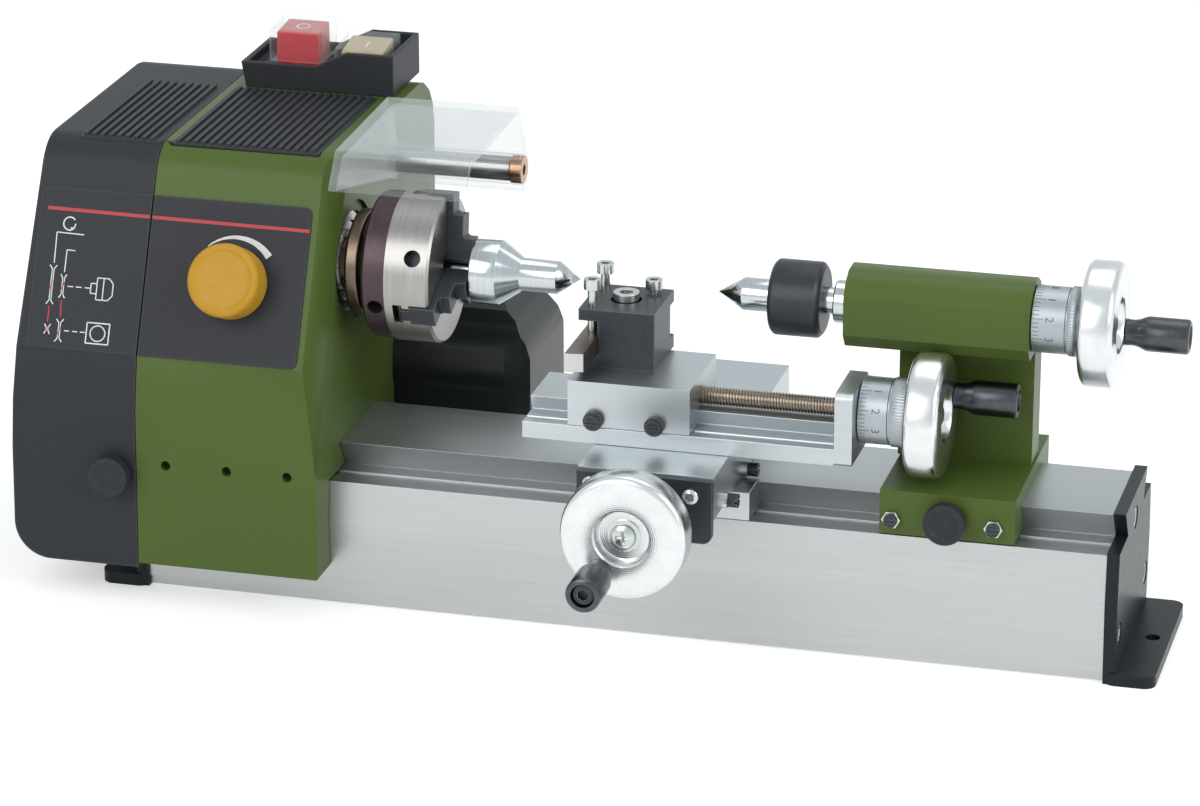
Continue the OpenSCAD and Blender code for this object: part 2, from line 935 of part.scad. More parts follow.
module chuck_body() {
  color("lightgray")
    difference() {
      turned_x([
        [nose_x + 8.5, 7],
        [nose_x + 8.5, hub_r],
        [jaw_back - 0.1, hub_r],
        [jaw_back - 0.1, boss_r + 0.3],
        [ring_front + 0.15, boss_r + 0.3],
        [ring_front + 0.15, chuck_d / 2],
        [chuck_front - 0.8, chuck_d / 2],
        [chuck_front, chuck_d / 2 - 0.8],
        [chuck_front, 7]
      ], 0, axis_z);
      for (i = [0:2])
        at_jaw(i) {
          translate([0, -jaw_w / 2 - jaw_play, slot_floor])
            cube([30, jaw_w + 2 * jaw_play, 2.9]);
          translate([0, -jaw_w / 2 - jaw_play + 1.2, slot_floor])
            cube([30, jaw_w + 2 * jaw_play - 2.4, 30]);
          translate([0, -jaw_w / 2 - jaw_play, slot_floor + 5.3])
            cube([30, jaw_w + 2 * jaw_play, 30]);
        }
      for (a = [36, 156, 276])
        translate([chuck_front - 5.5, 0, axis_z])
          rotate([a - 90, 0, 0])
            translate([0, 0, chuck_d / 2 - 5])
              cylinder(h = 10, r = tommy_d / 2);
    }
}

// Archimedean scroll: the land centre falls by one pitch for each turn about +X.
function scroll_r(a) = scroll_first - scroll_pitch * a / 360;

module scroll_strip() {
  turns = (scroll_first - hub_r - 1.1) / scroll_pitch;
  steps = floor(turns * 36);
  outer = [for (i = [0:steps]) let (a = i * 10)
    (scroll_r(a) + scroll_land / 2) * [cos(a), sin(a)]];
  inner = [for (i = [steps:-1:0]) let (a = i * 10)
    (scroll_r(a) - scroll_land / 2) * [cos(a), sin(a)]];
  polygon(concat(outer, inner));
}

module chuck_scroll() {
  color([0.25, 0.2, 0.21]) {
    difference() {
      turned_x([
        [chuck_rear, hub_r + 0.3],
        [chuck_rear, ring_d / 2 - 1],
        [chuck_rear + 1, ring_d / 2],
        [ring_front, ring_d / 2],
        [ring_front, boss_r],
        [scroll_floor, boss_r],
        [scroll_floor, hub_r + 0.3]
      ], 0, axis_z);
      for (a = [198, 318, 78])
        translate([chuck_rear + 4.6, 0, axis_z])
          rotate([a - 90, 0, 0])
            translate([0, 0, ring_d / 2 - 5])
              cylinder(h = 10, r = tommy_d / 2 - 0.2);
    }
    translate([scroll_floor - 0.1, 0, axis_z])
      rotate([90, 0, 90])
        linear_extrude(scroll_crest - scroll_floor + 0.1)
          scroll_strip();
  }
}

// Stepped jaw i with scroll teeth on its back and guide grooves on its flanks.
module jaw(i) {
  half = jaw_w / 2;
  tip = grip_d / 2;
  seat = jaw_back - ring_front;
  first = tooth_first - scroll_pitch * (jaw_angles[i] % 360) / 360;
  lowest = first - scroll_pitch * floor((first - 2.9) / scroll_pitch);
  count = floor((boss_r - 0.9 - lowest) / scroll_pitch);
  translate([ring_front, 0, 0])
    at_jaw(i) {
      difference() {
        intersection() {
          translate([0, half, 0])
            rotate([90, 0, 0])
              linear_extrude(jaw_w)
                polygon([
                  [tip, seat],
                  [24, seat],
                  [24.5, seat + 1],
                  [24.5, 16.6],
                  [18.6, 16.6],
                  [18, 17.4],
                  [18, 20],
                  [11.2, 20],
                  [10.6, 20.8],
                  [10.6, 23.2],
                  [tip, 23.2]
                ]);
          translate([0, 0, -1])
            linear_extrude(40)
              polygon([
                [tip, -1],
                [tip + 1.6, -half],
                [30, -half],
                [30, half],
                [tip + 1.6, half],
                [tip, 1]
              ]);
        }
        for (s = [-1, 1])
          translate([-1, s > 0 ? half - 1.2 : -half - 1, slot_floor - ring_front + 2.7])
            cube([40, 2.2, 2.8]);
      }
      for (k = [0:count])
        intersection() {
          translate([lowest + k * scroll_pitch - 15, 0, scroll_floor - ring_front + 0.15])
            difference() {
              cylinder(h = 2, r = 15 + jaw_tooth / 2);
              translate([0, 0, -1])
                cylinder(h = 4, r = 15 - jaw_tooth / 2);
            }
          translate([0, -2.4, scroll_floor - ring_front])
            cube([30, 4.8, jaw_back - scroll_floor + 0.1]);
        }
    }
}

module chuck_jaw_1() {
  color([0.16, 0.16, 0.17])
    jaw(0);
}

module chuck_jaw_2() {
  color([0.16, 0.16, 0.17])
    jaw(1);
}

module chuck_jaw_3() {
  color([0.16, 0.16, 0.17])
    jaw(2);
}

module dead_centre() {
  color("whitesmoke")
    turned_x([
      [-70, 0],
      [-70, 1.6],
      [-69.6, 2],
      [-53.5, 2],
      [-53.5, 9.9],
      [-53, 10.35],
      [-45, 10.35],
      [-38, 5.4],
      [-26, 5.2],
      [-19.1, 0]
    ], 0, axis_z);
}

module saddle() {
  color("lightgray")
    difference() {
      union() {
        prism_x(saddle_left, saddle_left + saddle_w)
          for (s = [-1, 1])
            polygon([
              [s * ledge_half, ledge_z + slide_play],
              [s * ledge_half, bed_top + slide_play],
              [s * (top_half + slide_play * 2), bed_top + slide_play],
              [s * (neck_half + slide_play * 2), ledge_z + slide_play]
            ]);
        prism_y(-ledge_half, ledge_half)
          polygon([
            [saddle_mid - tail_half_foot, bed_top + slide_play],
            [saddle_mid - tail_half_top, way_top],
            [saddle_mid + tail_half_top, way_top],
            [saddle_mid + tail_half_foot, bed_top + slide_play]
          ]);
      }
      rod_y(
        -ledge_half - 1, ledge_half + 1,
        cross_screw_d / 2 + turn_play, saddle_mid, cross_screw_z
      );
    }
}

gib_y = [-44.4, -16.8];
gib_z = cross_low + 2.65;
gib_nut_r = 2.55;

module cross_slide() {
  color("lightsteelblue")
    difference() {
      prism_y(cross_front, cross_rear)
        difference() {
          translate([cross_left, cross_low])
            square([cross_w, cross_top - cross_low]);
          polygon([
            [saddle_mid - tail_half_foot - slide_play, cross_low - 1],
            [saddle_mid - tail_half_foot - slide_play, cross_low],
            [saddle_mid - tail_half_top - slide_play, way_top + slide_play],
            [saddle_mid + tail_half_top + slide_play, way_top + slide_play],
            [saddle_mid + tail_half_foot + slide_play, cross_low],
            [saddle_mid + tail_half_foot + slide_play, cross_low - 1]
          ]);
        }
      for (y = gib_y)
        rod_x(saddle_mid + 8, cross_right + 1, 1.45, y, gib_z);
      for (p = apron_screws)
        rod_y(cross_front - 1, cross_front + 8, 1.3, p[0], p[1]);
    }
}

apron_screws = [[-0.4, 61.6], [31.3, 60.4]];

module pan_head(x, z) {
  difference() {
    turned_y([
      [apron_front, 0],
      [apron_front, 2.6],
      [apron_front - 1, 2.5],
      [apron_front - 1.8, 1.5],
      [apron_front - 1.9, 0]
    ], x, z);
    for (a = [0, 90])
      translate([x, apron_front - 1.5, z])
        rotate([0, a + 20, 0])
          cube([3, 1.4, 0.5], center = true);
  }
  rod_y(apron_front - 0.5, cross_front + 7.5, 1.25, x, z);
}

module cross_slide_screws() {
  color("silver") {
    for (p = apron_screws)
      pan_head(p[0], p[1]);
    for (y = gib_y) {
      difference() {
        rod_x(cross_right, cross_right + 1.7, gib_nut_r, y, gib_z);
        rod_x(cross_right - 1, cross_right + 2, 1.4, y, gib_z);
      }
      difference() {
        union() {
          rod_x(cross_right - 7.6, cross_right + 1.8, 1.4, y, gib_z);
          rod_x(cross_right + 1.7, cross_right + 5, 2.2, y, gib_z);
        }
        block(
          [cross_right + 4, y - 3, gib_z - 0.4],
          [cross_right + 6, y + 3, gib_z + 0.4]
        );
      }
    }
  }
}

module apron_plate() {
  color([0.13, 0.13, 0.14])
    difference() {
      prism_y(apron_front, cross_front)
        union() {
          translate([cross_left, 44.9])
            round_rect(cross_w, 18, 3);
          translate([cross_left, 52])
            square([cross_w, 13.5]);
        }
      rod_y(
        apron_front - 1, cross_front + 1,
        cross_screw_d / 2 + turn_play, saddle_mid, cross_screw_z
      );
      for (p = apron_screws)
        rod_y(apron_front - 1, cross_front + 1, 1.3, p[0], p[1]);
    }
}

cross_dial_y = apron_front - 0.25;
cross_wheel_y = apron_front - 16.3;
hub_screw_r = 4.4;

module cross_feed_screw() {
  color("rosybrown")
    turned_y([
      [20, 0],
      [20, cross_screw_d / 2 - 0.6],
      [19.4, cross_screw_d / 2],
      [apron_front - 0.1, cross_screw_d / 2],
      [apron_front - 0.1, hub_screw_r],
      [cross_wheel_y, hub_screw_r],
      [cross_wheel_y, 2.5],
      [cross_wheel_y - 7.3, 2.5],
      [cross_wheel_y - 7.3, 0]
    ], saddle_mid, cross_screw_z);
}

// Scale ring with its gripping ring, turned about Y, front towards -Y.
module cross_dial() {
  color("gainsboro")
    turned_y([
      [cross_dial_y, hub_screw_r + turn_play],
      [cross_dial_y, dial_d / 2],
      [cross_dial_y - 9.8, dial_d / 2],
      [cross_dial_y - 10, dial_d / 2 - 0.4],
      [cross_dial_y - 10.3, dial_d / 2 - 0.4],
      [cross_dial_y - 10.5, dial_d / 2],
      [cross_dial_y - 15.4, dial_d / 2],
      [cross_dial_y - 15.8, dial_d / 2 - 0.5],
      [cross_dial_y - 15.8, hub_screw_r + turn_play]
    ], saddle_mid, cross_screw_z);
}

grip_offset = [-6.9, -11.3];

// Half section of a hand wheel as [depth behind the front face, radius].
function wheel_section(r, t) = [
  [-t, 2.5],
  [-t, r - 1.9],
  [-t + 0.55, r - 0.55],
  [-t + 1.9, r],
  [-1.9, r],
  [-0.55, r - 0.55],
  [0, r - 1.9],
  [0, 9.2],
  [-0.7, 8.5],
  [-3.6, 8.5],
  [-3.6, 2.5]
];

// Grip as [position along its axis from the wheel face, radius].
grip_section = [
  [0.15, 2.3],
  [0.15, 4.2],
  [2.6, 4],
  [6, grip_body_d / 2 - 0.2],
  [7, grip_body_d / 2],
  [grip_len + 2.3, grip_body_d / 2],
  [grip_len + 3.1, grip_body_d / 2 - 0.8],
  [grip_len + 3.1, 3.6],
  [grip_len - 0.9, 3.6],
  [grip_len - 0.9, 2.3]
];

// Bolt that carries the grip, seated in the wheel.
grip_bolt_section = [
  [-3, 0],
  [-3, 2.2],
  [grip_len - 0.8, 2.2],
  [grip_len - 0.8, 3.3],
  [grip_len + 2, 3.3],
  [grip_len + 2, 0]
];

module cross_handwheel() {
  front = cross_wheel_y - 11;
  color("gainsboro") {
    difference() {
      turned_y([for (p = wheel_section(wheel_r, 11)) [front - p[0], p[1]]], saddle_mid, cross_screw_z);
      rod_y(front - 1, front + 3, 2.2, saddle_mid + grip_offset[0], cross_screw_z + grip_offset[1]);
    }
    difference() {
      turned_y([for (p = grip_bolt_section) [front - p[0], p[1]]],
        saddle_mid + grip_offset[0], cross_screw_z + grip_offset[1]);
      translate([saddle_mid + grip_offset[0], front - grip_len - 3, cross_screw_z + grip_offset[1]])
        rotate([-90, 0, 0])
          cylinder(h = 3, r = 1.9, $fn = 6);
    }
    turned_y([
      [front + 3.6, 0],
      [front + 3.6, 4.6],
      [front + 1.4, 4.2],
      [front + 1.2, 0]
    ], saddle_mid, cross_screw_z);
  }
}

module cross_handle() {
  front = cross_wheel_y - 11;
  color("slategray")
    turned_y([for (p = grip_section) [front - p[0], p[1]]],
      saddle_mid + grip_offset[0], cross_screw_z + grip_offset[1]);
}

module top_slide_base() {
  color("lightgray")
    difference() {
      union() {
        block([base_left, base_front, cross_top], [base_right, base_rear, flange_top]);
        prism_x(base_left, base_right)
          polygon([
            [rail_mid - rail_half_foot, flange_top - 0.1],
            [rail_mid - rail_half_foot, flange_top],
            [rail_mid - rail_half_top, rail_top],
            [rail_mid + rail_half_top, rail_top],
            [rail_mid + rail_half_foot, flange_top],
            [rail_mid + rail_half_foot, flange_top - 0.1]
          ]);
        prism_x(base_right, bracket_right)
          difference() {
            polygon([
              [base_front, cross_top],
              [base_front, bracket_top - 3],
              [base_front + 0.9, bracket_top - 0.9],
              [base_front + 3, bracket_top],
              [-14, bracket_top],
              [-4.2, bracket_top - 9.5],
              [-4.2, cross_top]
            ]);
            translate([base_front - 1, cross_top - 1])
              rotate(0)
                polygon([[0, 0], [3, 0], [0, 3]]);
          }
      }
      rod_x(base_right - 1, bracket_right + 1, top_screw_d / 2 + turn_play, feed_y, feed_z);
      block([base_left - 1, base_front + 3.6, flange_top - 0.5], [base_right, base_front + 5.4, flange_top + 1]);
    }
}

top_gib = [[-5.1, 73.5], [14.5, 73.5]];

module top_slide() {
  color("lightsteelblue")
    difference() {
      block([slide_left, -37.05, flange_top + 0.2], [slide_right, -1.9, slide_top]);
      prism_x(slide_left - 1, slide_right + 1)
        polygon([
          [rail_mid - rail_half_foot - slide_play, flange_top],
          [rail_mid - rail_half_top - slide_play, rail_top],
          [rail_mid - rail_half_top - slide_play, rail_top + slide_play],
          [rail_mid + rail_half_top + slide_play, rail_top + slide_play],
          [rail_mid + rail_half_top + slide_play, rail_top],
          [rail_mid + rail_half_foot + slide_play, flange_top]
        ]);
      rod_x(slide_left - 1, slide_right + 1, top_screw_d / 2 + turn_play, feed_y, feed_z);
      for (p = top_gib)
        rod_y(-38, -26, 1.45, p[0], p[1] + 0.6);
      rod_z(slide_top - 4.5, slide_top + 1, 2.5, post_bolt[0], post_bolt[1]);
    }
}

module top_gib_screws() {
  color([0.2, 0.2, 0.2])
    for (p = top_gib)
      difference() {
        union() {
          rod_y(-39.2, -37.05, 3.1, p[0], p[1] + 0.6);
          rod_y(-40.6, -39.1, 2.3, p[0], p[1] + 0.6);
          rod_y(-37, -28.4, 1.4, p[0], p[1] + 0.6);
        }
        block([p[0] - 3, -41, p[1] + 0.2], [p[0] + 3, -39.8, p[1] + 1]);
      }
}

top_dial_x = bracket_right + 0.25;
top_wheel_x = bracket_right + 15.7;

module top_feed_screw() {
  color("rosybrown")
    turned_x([
      [slide_left + 3, 0],
      [slide_left + 3, top_screw_d / 2 - 0.6],
      [slide_left + 3.6, top_screw_d / 2],
      [bracket_right + 0.1, top_screw_d / 2],
      [bracket_right + 0.1, hub_screw_r],
      [top_wheel_x, hub_screw_r],
      [top_wheel_x, 2.5],
      [top_wheel_x + 7.1, 2.5],
      [top_wheel_x + 7.1, 0]
    ], feed_y, feed_z);
}

// Scale ring with its gripping ring, turned about X; ring is the scale's length.
module dial_x(x, y, z, ring, total) {
  turned_x([
    [x, hub_screw_r + turn_play],
    [x, dial_d / 2],
    [x + ring - 0.2, dial_d / 2],
    [x + ring, dial_d / 2 - 0.4],
    [x + ring + 0.3, dial_d / 2 - 0.4],
    [x + ring + 0.5, dial_d / 2 + 0.4],
    [x + total - 0.4, dial_d / 2 + 0.4],
    [x + total, dial_d / 2],
    [x + total, hub_screw_r + turn_play]
  ], y, z);
}

// Hand wheel about X with its grip bolt; x is the rear face and at is the grip's place.
module handwheel_x(x, t, r, y, z, at) {
  front = x + t;
  difference() {
    turned_x([for (p = wheel_section(r, t)) [front + p[0], p[1]]], y, z);
    rod_x(front - 3, front + 1, 2.2, y + at[0], z + at[1]);
  }
  difference() {
    turned_x([for (p = grip_bolt_section) [front + p[0], p[1]]], y + at[0], z + at[1]);
    translate([front + grip_len, y + at[0], z + at[1]])
      rotate([0, 90, 0])
        cylinder(h = 3, r = 1.9, $fn = 6);
  }
  turned_x([
    [front - 3.6, 0],
    [front - 3.6, 4.6],
    [front - 1.4, 4.2],
    [front - 1.2, 0]
  ], y, z);
}

module top_dial() {
  color("gainsboro")
    dial_x(top_dial_x, feed_y, feed_z, 9.4, 15);
}

top_grip = [12.5, 2.5];

module top_handwheel() {
  color("gainsboro")
    handwheel_x(top_wheel_x, 10.8, top_wheel_r, feed_y, feed_z, top_grip);
}

module top_handle() {
  color("slategray")
    turned_x([for (p = grip_section) [top_wheel_x + 10.8 + p[0], p[1]]],
      feed_y + top_grip[0], feed_z + top_grip[1]);
}

module tool_post() {
  color([0.14, 0.14, 0.15])
    difference() {
      block([post_left, post_front, slide_top], [post_right, post_rear, post_top]);
      block(
        [post_left - 1, post_front - 1, slot_low],
        [post_left + bit_side + 0.3, post_rear + 1, slot_low + 10.9]
      );
      block(
        [post_left - 1, post_rear - 5, slot_low],
        [post_right + 1, post_rear + 1, slot_low + 10.9]
      );
      rod_z(slide_top - 1, post_top + 1, 2.5 + turn_play, post_bolt[0], post_bolt[1]);
      rod_z(post_top - 2, post_top + 1, 5, post_bolt[0], post_bolt[1]);
      for (p = post_screws)
        rod_z(slot_low + 9.4, post_top + 1, 1.5, p[0], p[1]);
    }
}

post_screws = [[-10.4, -18.6, 110.6], [-10.4, -2.4, 110.6], [5.4, -2.4, 106.5]];

module tool_post_bolt() {
  color("silver")
    difference() {
      union() {
        rod_z(slide_top - 4.5, post_top - 1.5, 2.5, post_bolt[0], post_bolt[1]);
        rod_z(post_top - 2, post_top + 2.5, 4.2, post_bolt[0], post_bolt[1]);
      }
      translate([post_bolt[0], post_bolt[1], post_top])
        cylinder(h = 4, r = 2.3, $fn = 6);
    }
}

module tool_post_screws() {
  color("silver")
    for (p = post_screws) {
      foot = p[0] < -8 ? slot_low + bit_side : slot_low + 9.5;
      difference() {
        union() {
          rod_z(foot, p[2] + 0.1, 1.5, p[0], p[1]);
          rod_z(p[2], p[2] + 3.3, 2.75, p[0], p[1]);
        }
        translate([p[0], p[1], p[2] + 1.5])
          cylinder(h = 3, r = 1.45, $fn = 6);
      }
    }
}

module tool_bit() {
  color("lightgray")
    difference() {
      block(
        [post_left + 0.1, -41, slot_low],
        [post_left + 0.1 + bit_side, 9, slot_low + bit_side]
      );
      translate([post_left + 0.1, -41, slot_low])
        rotate([0, 0, 0])
          linear_extrude(bit_side + 1)
            polygon([[-1, -1], [bit_side + 1, -1], [bit_side + 1, 0.9], [-1, -0.4]]);
    }
}

tail_clamp = [105.7, 49.2];

module tailstock_body() {
  color("olivedrab")
    difference() {
      union() {
        prism_x(tail_left, tail_right)
          difference() {
            translate([tail_front, ledge_z + 0.4])
              square([tail_rear - tail_front, tail_base_top - ledge_z - 0.4]);
            polygon(mirrored([
              [neck_half + slide_play * 2, ledge_z],
              [top_half + slide_play * 2, bed_top],
              [top_half + slide_play * 2, bed_top + slide_play]
            ]));
          }
        block([tail_left - 0.9, 1.8, tail_base_top - 0.1], [tail_face, 14, axis_z - 5]);
        prism_x(barrel_left, tail_face)
          translate([0, axis_z])
            polygon([
              [-4, 12],
              [4, 12],
              [8.5, 9.5],
              [11.6, 5.5],
              [11.6, -7],
              [8, -11.5],
              [-8, -11.5],
              [-11.6, -7],
              [-11.6, 5.5],
              [-8.5, 9.5]
            ]);
      }
      rod_x(barrel_left - 1, tail_face - 6, quill_d / 2 + turn_play, 0, axis_z);
      rod_x(tail_face - 7, tail_face + 1, tail_screw_d / 2 + turn_play, 0, axis_z);
      rod_y(tail_front - 1, -17, 2 + turn_play, tail_clamp[0], tail_clamp[1]);
      for (x = tail_gib_x)
        rod_y(tail_front - 1, -17, 1.45, x, 48);
    }
}

tail_gib_x = [88.4, 120.5];

module tailstock_gib_screws() {
  color("silver")
    for (x = tail_gib_x)
      difference() {
        union() {
          translate([x, tail_front, 48])
            rotate([90, 0, 0])
              cylinder(h = 1.8, r = 3, $fn = 6);
          rod_y(tail_front - 3.3, tail_front - 1.7, 2.2, x, 48);
          rod_y(tail_front - 2, -19.5, 1.4, x, 48);
        }
        block([x - 3, tail_front - 4, 47.65], [x + 3, tail_front - 2.6, 48.35]);
      }
}

module tailstock_clamp_knob() {
  color([0.08, 0.08, 0.08])
    difference() {
      turned_y([
        [-19.6, 0],
        [-19.6, 2],
        [tail_front - 0.1, 2],
        [tail_front - 0.1, 5.6],
        [tail_front - 0.7, 6.6],
        [tail_front - 5.2, 6.6],
        [tail_front - 6, 5.8],
        [tail_front - 6, 4.7],
        [tail_front - 4.9, 4.4],
        [tail_front - 4.9, 2.6],
        [tail_front - 5.7, 2.3],
        [tail_front - 5.7, 0]
      ], tail_clamp[0], tail_clamp[1]);
    }
}

module quill() {
  color("gainsboro")
    difference() {
      turned_x([
        [60, 0],
        [60, 4.3],
        [quill_left, 4.3],
        [quill_left, quill_d / 2 - 0.4],
        [quill_left + 0.4, quill_d / 2],
        [tail_face - 6.3, quill_d / 2],
        [tail_face - 6.3, 0]
      ], 0, axis_z);
      rod_x(quill_left + 12, tail_face, tail_screw_d / 2 + turn_play, 0, axis_z);
    }
}

module live_centre_housing() {
  color([0.15, 0.15, 0.15])
    difference() {
      turned_x([
        [60, 0],
        [60, live_d / 2 - 1.6],
        [58.6, live_d / 2],
        [45, live_d / 2],
        [43.5, live_d / 2 - 1.4],
        [43.5, 0]
      ], 0, axis_z);
      rod_x(42, 57, 4 + turn_play, 0, axis_z);
    }
}

module live_centre_point() {
  color("whitesmoke")
    turned_x([
      [25.7, 0],
      [34, 5.2],
      [43.2, 5.2],
      [43.2, 4],
      [56.8, 4],
      [56.8, 0]
    ], 0, axis_z);
}

module tailstock_feed_screw() {
  color("rosybrown")
    turned_x([
      [quill_left + 15, 0],
      [quill_left + 15, tail_screw_d / 2 - 0.6],
      [quill_left + 15.6, tail_screw_d / 2],
      [tail_face + 0.1, tail_screw_d / 2],
      [tail_face + 0.1, hub_screw_r],
      [tail_face + 15.7, hub_screw_r],
      [tail_face + 15.7, 2.5],
      [tail_face + 22, 2.5],
      [tail_face + 22, 0]
    ], 0, axis_z);
}

module tailstock_dial() {
  color("gainsboro")
    dial_x(tail_face + 0.25, 0, axis_z, 10.6, 13.6);
}

tail_grip = [11, -5.9];

module tailstock_handwheel() {
  color("gainsboro")
    handwheel_x(tail_face + 15.7, 11, wheel_r, 0, axis_z, tail_grip);
}

module tailstock_handle() {
  color("slategray")
    turned_x([for (p = grip_section) [tail_face + 26.7 + p[0], p[1]]],
      tail_grip[0], axis_z + tail_grip[1]);
}

bed();
left_end_plate();
right_end_plate();
end_plate_screws();
headstock_housing();
vent_panel();
control_panel();
switch_box();
motor_housing();
motor_stator();
spindle_bearings();
drive_belt();
guard_rod();
belt_cover();
cover_knob();
spindle();
spindle_pulley();
chuck_body();
dead_centre();
chuck_scroll();
chuck_jaw_1();
chuck_jaw_2();
chuck_jaw_3();
motor_shaft();
motor_pulley();
speed_knob();
off_button();
off_button_cap();
on_button();
on_button_cap();
guard();
tailstock_body();
tailstock_gib_screws();
tailstock_clamp_knob();
quill();
live_centre_housing();
live_centre_point();
tailstock_feed_screw();
tailstock_dial();
tailstock_handwheel();
tailstock_handle();
saddle();
cross_slide();
cross_slide_screws();
apron_plate();
cross_feed_screw();
cross_dial();
cross_handwheel();
cross_handle();
top_slide_base();
top_slide();
top_gib_screws();
top_feed_screw();
top_dial();
top_handwheel();
top_handle();
tool_post();
tool_post_bolt();
tool_post_screws();
tool_bit();
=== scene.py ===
import math
import bpy
from mathutils import Matrix, Vector


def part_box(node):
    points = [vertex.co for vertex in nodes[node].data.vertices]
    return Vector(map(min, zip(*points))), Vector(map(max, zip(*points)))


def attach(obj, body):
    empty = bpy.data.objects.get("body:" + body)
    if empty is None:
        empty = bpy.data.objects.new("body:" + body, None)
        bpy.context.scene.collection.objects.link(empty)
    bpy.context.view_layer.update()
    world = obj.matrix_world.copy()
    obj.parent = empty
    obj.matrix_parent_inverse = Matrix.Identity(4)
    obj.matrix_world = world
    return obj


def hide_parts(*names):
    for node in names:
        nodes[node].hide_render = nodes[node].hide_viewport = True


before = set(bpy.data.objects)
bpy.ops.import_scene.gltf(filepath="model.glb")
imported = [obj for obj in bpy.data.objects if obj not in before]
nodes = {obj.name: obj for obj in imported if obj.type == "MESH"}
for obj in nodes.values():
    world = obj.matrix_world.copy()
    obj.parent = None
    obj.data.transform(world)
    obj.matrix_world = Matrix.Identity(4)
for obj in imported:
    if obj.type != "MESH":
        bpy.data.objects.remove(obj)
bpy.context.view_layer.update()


# ---- The studio -----------------------------------------------------------------------------
# A white sweep of paper under soft lamps, and a long lens about 1.5 m away.
# The paper takes a soft shadow. What shines sees the white, paler blue-grey overhead.

def linear(code):
    """Turn an sRGB hex colour to the linear values that a shader takes."""
    parts = [int(code[place:place + 2], 16) / 255 for place in (0, 2, 4)]
    return tuple(p / 12.92 if p <= 0.04045 else ((p + 0.055) / 1.055) ** 2.4 for p in parts) + (1.0,)


def add(tree, kind, settings=None, values=None, links=None):
    """Add one shader node of this kind, with its settings, its socket values and its links."""
    node = tree.nodes.new("ShaderNode" + kind)
    for name, value in (settings or {}).items():
        setattr(node, name, value)
    for name, value in (values or {}).items():
        node.inputs[name].default_value = value
    for name, source in (links or {}).items():
        tree.links.new(source, node.inputs[name])
    return node


def backdrop_rays(tree):
    """Give 1 for the rays that see the backdrop as it is: camera, glossy and transmission rays."""
    rays = add(tree, "LightPath")
    two = add(tree, "Math", {"operation": "ADD"},
              links={0: rays.outputs["Is Camera Ray"], 1: rays.outputs["Is Glossy Ray"]})
    return add(tree, "Math", {"operation": "ADD", "use_clamp": True},
               links={0: two.outputs[0], 1: rays.outputs["Is Transmission Ray"]})


bpy.context.scene.view_settings.view_transform = "Standard"

lens = bpy.data.cameras.new("camera")
lens.lens = 145.27
lens.sensor_width = 36.0
camera = bpy.data.objects.new("camera", lens)
camera.location = (0.35586, -1.40054, 0.60109)
camera.rotation_euler = (math.radians(69.71), 0.0, math.radians(14.75))
bpy.context.scene.collection.objects.link(camera)
bpy.context.scene.camera = camera

room = bpy.data.worlds.new("white_room")
room.use_nodes = True
bpy.context.scene.world = room
seen = backdrop_rays(room.node_tree)
level = add(room.node_tree, "Math", {"operation": "MULTIPLY_ADD"},
            {1: 0.42, 2: 0.58}, {0: seen.outputs[0]})
sky = room.node_tree.nodes["Background"]
place = add(room.node_tree, "TexCoord")
parts = add(room.node_tree, "SeparateXYZ", links={0: place.outputs["Generated"]})
height = add(room.node_tree, "MapRange", values={"From Min": 0.0, "From Max": 0.30},
             links={"Value": parts.outputs["Z"]})
fade = add(room.node_tree, "Mix", {"data_type": "RGBA"}, {6: linear("ffffff"), 7: linear("e2e9ec")},
           {0: height.outputs[0]})
room.node_tree.links.new(fade.outputs[2], sky.inputs["Color"])
room.node_tree.links.new(level.outputs[0], sky.inputs["Strength"])

for name, place, size, power in (("front_lamp", (-0.7, -1.5, 1.1), 1.2, 13.0),
                                 ("right_lamp", (1.5, -0.5, 0.9), 0.9, 10.5),
                                 ("top_lamp", (0.1, 0.5, 1.5), 1.0, 4.0)):
    glow = bpy.data.lights.new(name, "AREA")
    glow.size = size
    glow.energy = power
    lamp = bpy.data.objects.new(name, glow)
    lamp.location = place
    lamp.rotation_euler = (Vector((0.0, 0.0, 0.08)) - Vector(place)).to_track_quat("-Z", "Y").to_euler()
    bpy.context.scene.collection.objects.link(lamp)

paper = bpy.data.materials.new("matt_white_paper")
paper.use_nodes = True
sheet = paper.node_tree.nodes["Principled BSDF"]
sheet.inputs["Roughness"].default_value = 0.9
sheet.inputs["Specular IOR Level"].default_value = 0.0
sheet.inputs["Emission Color"].default_value = (1.0, 1.0, 1.0, 1.0)
seen = backdrop_rays(paper.node_tree)
level = add(paper.node_tree, "Math", {"operation": "MULTIPLY"}, {1: 0.45}, {0: seen.outputs[0]})
paper.node_tree.links.new(level.outputs[0], sheet.inputs["Emission Strength"])
place = add(paper.node_tree, "TexCoord")
fibre = add(paper.node_tree, "TexNoise", values={"Scale": 40.0}, links={"Vector": place.outputs["Object"]})
tone = add(paper.node_tree, "Mix", {"data_type": "RGBA"},
           {6: linear("f0f0f0"), 7: linear("f4f4f4")}, {0: fibre.outputs["Fac"]})
paper.node_tree.links.new(tone.outputs[2], sheet.inputs["Base Color"])

bpy.ops.object.select_all(action="DESELECT")
bpy.ops.mesh.primitive_grid_add(x_subdivisions=8, y_subdivisions=8, size=9.0, location=(0.0, 2.0, 0.0))
floor = bpy.context.object
floor.name = "floor"
floor.data.materials.append(paper)


# ---- Bed ------------------------------------------------------------------------------------
# A hollow extruded aluminium bar with dovetail flanks on top, sawn to length.
# Its skin is anodised satin, with faint lines drawn along it by the die.

def only(piece):
    """Leave just this piece selected and active."""
    bpy.ops.object.select_all(action="DESELECT")
    piece.select_set(True)
    bpy.context.view_layer.objects.active = piece


